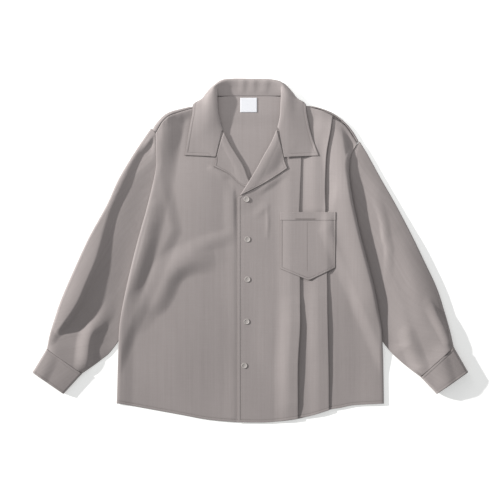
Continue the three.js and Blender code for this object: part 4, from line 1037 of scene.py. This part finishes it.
# The camp collar is one doubled band of shirting, sewn on from gorge to gorge. It stands at the
# neck, rolls over and falls flat on the fronts, and behind the neck it is tucked under the back.
COLLAR = [  # seam, roll, crest, fold and edge of one section, and its share tucked under
    ((-65, 274, 5), (-61, 272, 5.8), (-65, 267, 7), (-78, 211, 6.5), (-148, 214, 6), 0),
    ((-74, 284, 5.5), (-66, 286, 8), (-73, 281, 9.8), (-100, 248, 8.5), (-144, 236, 7), 0),
    ((-82, 306, 7.5), (-72, 309, 13), (-82, 307, 15.5), (-107, 283, 12), (-138, 270, 8), 0),
    ((-85, 330, 8.5), (-74, 333, 16.5), (-86, 335, 20), (-107, 317, 14), (-131, 305, 9), 0),
    ((-84, 346, 8), (-74, 351, 17), (-86, 355, 21), (-105, 340, 12.5), (-126, 331, 7.5), 0.2),
    ((-78, 347.5, 5.6), (-74, 364, 14), (-81, 368, 18), (-97, 357, 9), (-96, 335, 1.5), 1),
    ((-64, 347.5, 4), (-65, 367, 11), (-64, 379, 14.5), (-69, 381, 8), (-76, 322, 0.6), 1),
    ((-40, 347.5, 3.4), (-40, 366, 6.2), (-40, 382, 8.6), (-44, 386, 5), (-50, 321, 0.6), 1),
    ((0, 347.5, 3.3), (0, 366, 5.6), (0, 382, 7.6), (0, 386, 4.4), (0, 320, 0.6), 1),
    ((44, 347.5, 3.3), (44, 366, 6), (44, 381, 8.2), (46, 385, 4.8), (50, 321, 0.6), 1),
    ((64, 347.5, 3.9), (67, 366, 8.6), (68, 377, 10.5), (73, 377, 6), (76, 322, 0.6), 1),
    ((76, 347.5, 5), (70, 360, 10.5), (78, 364, 12.5), (94, 357, 7), (94, 336, 1.5), 1),
    ((84, 346, 6.4), (69, 347, 12.5), (81, 352, 14.5), (102, 341, 10), (122, 332, 7.2), 0.2),
    ((84, 330, 7.8), (68, 328, 14), (80, 333, 16), (102, 320, 12), (127, 308, 8.5), 0),
    ((80, 306, 9), (67, 306, 14.4), (77, 306, 16), (104, 285, 12.5), (134, 273, 8.5), 0),
    ((73, 286, 10), (64, 289, 13.6), (71, 284, 15), (101, 248, 11.5), (144, 240, 8), 0),
    ((65, 279, 11), (61, 277, 12.4), (65, 272, 13.6), (76, 210, 9.6), (154, 213, 7.6), 0),
]


COLLAR_DEPTH = 7.0
TOP_EDGE_SHADE = 0.9  # painted shade along the edge of a piece that lies on top of another, for the shadow at its foot
COLLAR_CLEAR, COLLAR_BLEND = 0.4, 0.6  # over the fronts, and how softly it comes to lie on them
TUCK_LEAST, LYING_SHARE = 0.3, 0.45  # sections tucked more, and shares before this, don't lie
END_SHARE, STRAIGHT_SHARE = 0.06, (0.1, 0.25)  # at both ends the sections become straight
STAND_RISE, STAND_FALL = (0.02, 0.12), (0.3, 0.42)  # shares across between which it stands
FALL_SHARE, FALL_AWAY = (0.42, 0.5), 60  # only the fall's ends are stitched
STAND_RIPPLES = [
    ([(-16, 380, 1.1), (-18, 352, 0.6)], 12, 10), ([(8, 380, 1.1), (6, 352, 0.5)], 12, 10),
    ([(36, 380, 1.3), (32, 352, 0.6)], 15, 12),
]


def collar_grid(rows, columns):
    """Sections from gorge to gorge: a smooth curve through seam, roll, crest, fold and edge,
    kept above the fronts that the fall lies on."""
    table = np.array([[value for point in row[:5] for value in point] + [row[5]] for row in COLLAR])
    t = spaced(rows, 620, fine_at(COLLAR_DEPTH), fine_at(COLLAR_DEPTH))
    values = spline(np.arange(len(table)), table, t * (len(table) - 1))
    tuck = np.clip(values[:, 15], 0, 1)[:, None]
    seam, roll, crest, fold, edge = (values[:, 3 * k : 3 * k + 3] for k in range(5))
    under = lerp(fold, edge, lerp(0.5, 0.2, tuck))
    under[:, 2:] = lerp(under[:, 2:], edge[:, 2:], tuck)
    u = spaced(columns, 110, (), fine_at(COLLAR_DEPTH))
    points = np.stack([seam, roll, crest, fold, under, edge], 1)
    grid = np.stack([curve(row)(u) for row in points])
    straight = np.stack([polyline(row)(u) for row in points])
    at_end = 1 - smooth(0, END_SHARE, np.minimum(t, 1 - t))[:, None, None]
    grid = lerp(grid, straight, at_end * smooth(*STRAIGHT_SHARE, u)[None, :, None])
    x, y, z = grid[..., 0], grid[..., 1], grid[..., 2]
    standing = smooth(*STAND_RISE, u) * (1 - smooth(*STAND_FALL, u))
    z += fold_height(STAND_RIPPLES, x, y) * standing
    below = np.where(
        x < 0, front_height("left", x, y), front_height("right", x, y) + pleat_rise(x, y)
    ) + LAYER + COLLAR_CLEAR
    lying = (tuck <= TUCK_LEAST) & (u[None] >= LYING_SHARE)
    grid[..., 2] = np.where(lying, soft_max(z, below, COLLAR_BLEND), np.maximum(z, FLOOR))
    return grid


grid = collar_grid(231, 44)
along = lengths(grid)
edge_away = from_left(grid)
edge_away = edge_away[:, -1:] - edge_away
on_fall = smooth(*FALL_SHARE, np.linspace(0, 1, grid.shape[1]))
ends_away = np.minimum(along, along[-1:] - along) + FALL_AWAY * (1 - on_fall)
wall = sewn_shell(grid, np.minimum(edge_away, ends_away), COLLAR_DEPTH, rim=TOP_EDGE_SHADE)
collar = piece("collar_cloth", [(0, wall)], [shirting])
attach(collar, "root")
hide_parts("collar")

# The lapels are the fronts' facings of shirting, turned outwards from the roll lines. Their edges
# are topstitched, and they meet the collar at the gorge in a notch.
LAPEL_EDGE = {
    "left": {
        "lower": [(5, 143), (-13, 144), (-29, 155), (-46, 171), (-82, 189)],
        "outer": [(-82, 189), (-76, 206)],
        "gorge": [(-59, 265), (-64, 253), (-70, 231), (-76, 206)],
    },
    "right": {
        "lower": [(-22, 125), (4, 137), (34, 153), (63, 171), (84, 185)],
        "outer": [(84, 185), (79, 196), (75, 206)],
        "gorge": [(59, 270), (66, 246), (71, 227), (75, 206)],
    },
}
LAPEL_CLEAR, LAPEL_SWELL, NOTCH_LIFT = 0.7, 0.6, 1.6
SWELL_SHARE, LAPEL_FALL = 1 / 3, 0.9  # shares of the width that swell beside the roll, and fall
LAPEL_BLEND, CURL_END = 0.2, -1.35


def lapel_grid(side, rows, columns, curls):
    """A patch from the roll line to the outer edge on the front below, and the roll's curl."""
    roll = curve(LAPEL_ROLL[side])

    def start(v):
        place = roll(v)
        return beside_roll(place, side, roll_radius(place[..., 2:]))

    table = LAPEL_EDGE[side]
    bottom = curve([start(0.0), *table["lower"][1:]])
    top = curve([start(1.0), *table["gorge"][1:]])
    u, v = spaced(columns, 80, (), fine_at(EDGE_DEPTH)), spaced(rows, 120, fine_at(EDGE_DEPTH))
    plan = patch(bottom, top, start, curve(table["outer"]), u, v)
    x, y = plan[..., 0], plan[..., 1]
    lying = front_height(side, x, y) + LAYER + LAPEL_CLEAR
    if side == "right":
        lying = lying + pleat_rise(x, y)
    place = roll(v)
    crest = place[:, 2:] + LAPEL_SWELL * np.sin(np.pi * np.minimum(u / SWELL_SHARE, 1))[None]
    fallen = lerp(crest, lying + NOTCH_LIFT * v[:, None], smooth(0, LAPEL_FALL, u)[None])
    z = soft_max(fallen, lying, LAPEL_BLEND)
    radius = roll_radius(place[:, 2:])
    angle = lerp(CURL_END, np.pi / 2, np.linspace(0, 1, curls)[None])
    away = radius * (1 - np.cos(angle))
    curl = np.dstack([
        beside_roll(place[:, None], side, away[..., None]),
        place[:, 2:] - radius + radius * np.sin(angle),
    ])
    return np.concatenate([curl[:, :-1], np.dstack([x, y, z])], 1)


for side, node in (("left", "lapel_right"), ("right", "lapel_left")):
    grid = lapel_grid(side, 41, 40, 9)
    low, outer = lengths(grid), from_left(grid)
    wall = sewn_shell(grid, np.minimum(low, outer[:, -1:] - outer), EDGE_DEPTH, rim=TOP_EDGE_SHADE)
    stitched = row_at(low[:, 30], EDGE_DEPTH)
    lapel = piece(
        f"{node}_cloth", [(0, wall), (1, stitches(wall[4][stitched, 12:-6]))], [shirting, thread]
    )
    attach(lapel, "root")
    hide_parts(node)

# The chest pocket is a plain patch of the shirting with a pointed foot and a pressed crease
# down its middle, topstitched over the pleats.
POCKET_TOP, POCKET_SIDES, POCKET_CREASE = 86, (67, 192), 128.4
POCKET_FOOT = [(67, -41), (126, -65), (131.5, -66.5), (137, -65), (191, -39)]
POCKET_WALL, POCKET_LIFT, POCKET_CLEAR = 0.8, 3.3, -0.2
POCKET_DROP, DROP_WIDE = 0.95, 18  # share of the lift lost beyond the second pleat, over this
PLEAT_FOOT = -69  # the pleats are followed down to here
CREASE_ENDS, CREASE_GONE = [(62, 66), (-48, -52)], 100  # where it fades out, and how far off


def pocket_height(x, y):
    """Middle of the pocket's wall: level over the pleats, on the front at its sides."""
    inside = np.clip(y, PLEAT_FOOT, POCKET_TOP)
    first, second = (pleat_at(pleat, inside)[0] for pleat in PLEATS)
    lift = smooth(first - PLEAT_REACH, first - PLEAT_FLAT, x)
    lift = lift - POCKET_DROP * np.clip((x - second - 1) / DROP_WIDE, 0, 1)
    return front_height("right", x, y) + POCKET_LIFT * lift + LAYER + POCKET_CLEAR


wide = POCKET_SIDES[1] - POCKET_SIDES[0]
u = spaced(41, wide, fine_at(EDGE_DEPTH), fine_at(EDGE_DEPTH))
crease = (POCKET_CREASE - POCKET_SIDES[0] + np.array([-1.6, -0.8, 0, 0.8, 1.6])) / wide
u = np.unique(np.concatenate([u, crease]))
v = spaced(45, 150, fine_at(EDGE_DEPTH))
corners = [(side, POCKET_TOP) for side in POCKET_SIDES]
plan = patch(
    polyline(POCKET_FOOT), polyline(corners), polyline([POCKET_FOOT[0], corners[0]]),
    polyline([POCKET_FOOT[-1], corners[1]]), u, v,
)
x, y = plan[..., 0], plan[..., 1]
grid = np.dstack([x, y, pocket_height(x, y)])
low = from_low(grid)
left = from_left(grid[..., :2])
near_edge = np.minimum(low, np.minimum(left, left[:, -1:] - left))
# The crease is made like a line of stitching: a groove, with painted shade laid in it.
crease_away = np.abs(x - POCKET_CREASE) + CREASE_GONE * sum(smooth(*end, y) for end in CREASE_ENDS)
near_edge = np.minimum(near_edge, crease_away + EDGE_DEPTH)
wall = sewn_shell(
    grid, near_edge, EDGE_DEPTH, puff=0.4, dip=0.4, rim=TOP_EDGE_SHADE, thick=POCKET_WALL
)
row = row_at(low[:, 20], EDGE_DEPTH)
columns = [row_at(left[20], EDGE_DEPTH), row_at(left[20, -1] - left[20], EDGE_DEPTH)]
seams = [wall[4][row, columns[0] : columns[1] + 1]] + [wall[4][row:, column] for column in columns]
pocket = piece(
    "pocket_cloth", [(0, wall)] + [(1, stitches(seam)) for seam in seams], [shirting, thread]
)
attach(pocket, "root")
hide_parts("pocket")

# The pocket's band is its hem of the same cloth, pressed down across the top and sewn along
# both edges. A short slit above the lower edge is not cut but painted in as a line of shade.
BAND_DEEP, BAND_INSET, BAND_WALL, BAND_LIFT = 18, 0.5, 0.5, 0.75
BAND_STITCHES = (0.9, 16.6)  # from its lower edge
SLIT_ENDS, SLIT_HIGH, SLIT_WIDE = [(98, 104), (146, 150)], 2.6, 1.1
t = np.linspace(0, 1, 20)[:, None]
x = lerp(POCKET_SIDES[0] + BAND_INSET, POCKET_SIDES[1] - BAND_INSET, u)[None] + 0 * t
y = POCKET_TOP - BAND_DEEP * (1 - t) + 0 * x
grid = np.dstack([x, y, pocket_height(x, y) + BAND_LIFT])
# where the slit's painted shade lies: a dark line in the colour, the band itself stays whole
painted_slit_shade = smooth(*SLIT_ENDS[0], x) * (1 - smooth(*SLIT_ENDS[1], x))
low = from_low(grid)
wall = shell(grid, BAND_WALL, painted_shade=painted_slit_shade * np.exp(-(((low - SLIT_HIGH) / SLIT_WIDE) ** 2)))
seams = [wall[4][row_at(low[:, 0], away)] for away in BAND_STITCHES]
band = piece(
    "pocket_band_cloth", [(0, wall)] + [(1, stitches(seam)) for seam in seams], [shirting, thread]
)
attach(band, "root")
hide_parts("pocket_band")

# The neck label is a bare white woven satin tape. It is sewn flat on the back's inside, just
# below the neck seam.
LABEL = (-22, 15, 311, 343)  # x from and to, y from and to
LABEL_PITCH, LABEL_DARK, LABEL_PALE = 0.0006, (0.62, 0.63, 0.66, 1), (0.74, 0.75, 0.78, 1)


def make_label_cloth():
    """Smooth white satin tape: a sine for its fine cross ribs, and a faint grain."""
    tree = Tree("label_tape")
    place = tree.add("ShaderNodeTexCoord", output=3)
    apart = tree.add("ShaderNodeSeparateXYZ", {}, (place,))
    rib = (Socket(tree, apart.link.node.outputs[1]) * (math.tau / LABEL_PITCH)).math("SINE")
    grain = noise(tree, place, (900, 500, 1), 2.0, 0.5)
    tone = 0.5 + (grain - 0.5) * 0.5 + rib * 0.1
    color = tree.mix(tone, LABEL_DARK, LABEL_PALE)
    bump = tree.add("ShaderNodeBump", {}, {"Strength": 0.3, "Distance": 0.0002, "Height": rib})
    return tree.set(Base_Color=color, Roughness=0.55, Normal=bump)


label_tape = make_label_cloth()
u = v = np.linspace(0, 1, 24)
x, y = np.meshgrid(lerp(LABEL[0], LABEL[1], u), lerp(LABEL[2], LABEL[3], v))
grid = np.dstack([x, y, back_height(x, y) + LAYER])
label = piece("neck_label_tape", [(0, shell(grid))], [label_tape])
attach(label, "root")
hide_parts("neck_label")

# Five buttons of grey-brown, shell-like resin, each turned with a raised rim and drilled with
# four holes, are sewn down the front.
BUTTONS = [(-8, 115), (-6, 25), (-6, -65), (-8, -160), (-13, -259)]
BUTTON_RADIUS, SEAT_RADIUS = 6.5, 6  # of the button, and of the ring of cloth that it rests on
FACE = [  # share of the radius, and height over the button's underside
    (0, 0.5), (0.56, 0.55), (0.72, 1.0), (0.84, 1.2), (0.96, 1.0), (1.0, 0.7),
]
UNDERSIDE = [(1.0, 0.7), (0.93, 0.3), (0.5, 0), (0.1, 0)]
HOLE_AWAY, HOLE_RADIUS, HOLE_DEPTH, HOLE_STEEP = 1.15, 1.0, 0.35, 1.6
BOWL_SHARE, FACE_RINGS, BUTTON_SIDES = 0.6, 26, 64
SHELL_DARK, SHELL_PALE = (0.27, 0.245, 0.23, 1), (0.46, 0.43, 0.41, 1)


def make_shell():
    """Grey-brown shell-like resin: stretched noise for its cloudy bands, and a clear coat."""
    tree = Tree("button_shell")
    place = tree.add("ShaderNodeTexCoord", output=3)
    cloud = noise(tree, place, (260, 420, 300), 3.0, 0.6)
    color = tree.mix(cloud, SHELL_DARK, SHELL_PALE)
    return tree.set(Base_Color=color, Roughness=0.4, Coat_Weight=0.25, Coat_Roughness=0.25)


button_shell = make_shell()
face_share = np.linspace(0, 1, FACE_RINGS)[1:-1] ** 0.8
face_at, face_high = np.array(FACE).T
under_share, under_high = np.array(UNDERSIDE).T
share = np.concatenate([face_share, under_share])[:, None]
high = np.concatenate([np.interp(face_share, face_at, face_high), under_high])[:, None]
turned = np.linspace(0, math.tau, BUTTON_SIDES + 1)[:-1]
x, y = share * BUTTON_RADIUS * np.cos(turned), share * BUTTON_RADIUS * np.sin(turned)
hole_places = [(a * HOLE_AWAY, b * HOLE_AWAY) for a in (-1, 1) for b in (-1, 1)]
holes = sum(bell(np.hypot(x - a, y - b) / HOLE_RADIUS) for a, b in hole_places)
drilled = HOLE_DEPTH * np.minimum(holes * HOLE_STEEP, 1)
z = high - np.where(share < BOWL_SHARE, drilled, 0)
rows, columns = x.shape
a, b = np.meshgrid(np.arange(rows - 1) * columns, np.arange(columns), indexing="ij")
a, b = a.ravel(), b.ravel()
after = (b + 1) % columns
faces = np.stack([a + b, a + columns + b, a + columns + after, a + after], 1).tolist()
top, low, last = rows * columns, rows * columns + 1, (rows - 1) * columns
faces += [(top, j, (j + 1) % columns) for j in range(columns)]
faces += [(low, last + (j + 1) % columns, last + j) for j in range(columns)]
for number, (cx, cy) in enumerate(BUTTONS, 1):
    ring = np.linspace(0, math.tau, 9)
    under = front_height("right", cx + SEAT_RADIUS * np.cos(ring), cy + SEAT_RADIUS * np.sin(ring))
    seat = under.max() + WALL / 2 + SEAM_GAP
    points = np.dstack([x + cx, y + cy, z + seat]).reshape(-1, 3)
    points = np.concatenate([points, [(cx, cy, seat + FACE[0][1]), (cx, cy, seat)]])
    mesh = bpy.data.meshes.new(f"button_{number}_shell")
    mesh.from_pydata((points * MM).tolist(), [], faces)
    mesh.polygons.foreach_set("use_smooth", np.ones(len(mesh.polygons), bool))
    mesh.materials.append(button_shell)
    button = new_object(f"button_{number}_shell", mesh)
    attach(button, "root")
    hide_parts(f"button_{number}")

# The floor is a plain pale sheet of paper just under the garment, far wider than it.
FLOOR_HALF, FLOOR_DROP = 4, 0.0006  # metres
floor_mesh = bpy.data.meshes.new("floor")
floor_corners = [(-1, -1), (1, -1), (1, 1), (-1, 1)]
floor_mesh.from_pydata(
    [(a * FLOOR_HALF, b * FLOOR_HALF, -FLOOR_DROP) for a, b in floor_corners], [], [(0, 1, 2, 3)]
)
floor_tree = Tree("floor_paper")
floor_mesh.materials.append(floor_tree.set(
    Base_Color=(0.85, 0.855, 0.84, 1), Roughness=0.9, Emission_Color=(1, 1, 0.985, 1),
    Emission_Strength=0.36,
))
new_object("floor", floor_mesh)

# The key light is a low sun from the left that draws long shadows to the right. A small soft
# lamp beyond the neck and an even pale surround fill them.
KEY_ELEVATION, KEY_TURN, KEY_WIDTH = math.radians(18), math.radians(160), math.radians(2)
FILL_PLACE, FILL_AIM = (-0.05, 0.55, 0.5), (0, 0.25, 0.5)
SURROUND, SURROUND_STRENGTH = (0.97, 0.98, 1.0, 1), 0.43


def aim(lamp, direction):
    """Turn a lamp so that its light comes from the given direction."""
    lamp.rotation_mode = "QUATERNION"
    lamp.rotation_quaternion = Vector(direction).to_track_quat("Z", "Y")


key = bpy.data.lights.new("key", "SUN")
key.energy, key.angle, key.color = 5.6, KEY_WIDTH, (1.0, 0.985, 0.97)
level = math.cos(KEY_ELEVATION)
aim(
    new_object("key", key),
    (level * math.cos(KEY_TURN), level * math.sin(KEY_TURN), math.sin(KEY_ELEVATION)),
)
fill = bpy.data.lights.new("fill", "AREA")
fill.shape, fill.size, fill.energy = "DISK", 0.5, 1.5
fill_lamp = new_object("fill", fill)
fill_lamp.location = FILL_PLACE
aim(fill_lamp, FILL_AIM)
world = bpy.data.worlds.new("surround")
world.use_nodes = True
background = world.node_tree.nodes["Background"]
background.inputs[0].default_value, background.inputs[1].default_value = SURROUND, SURROUND_STRENGTH
bpy.context.scene.world = world
bpy.context.scene.view_settings.view_transform = "Standard"

# The camera looks straight down from 6 m, with the photograph's 1.125 m square in view.
camera = bpy.data.cameras.new("camera")
camera.lens, camera.sensor_width = 192, 36
camera_object = new_object("camera", camera)
camera_object.location = (-0.0006, 0.0011, 6.0)
bpy.context.scene.camera = camera_object

bpy.context.view_layer.update()
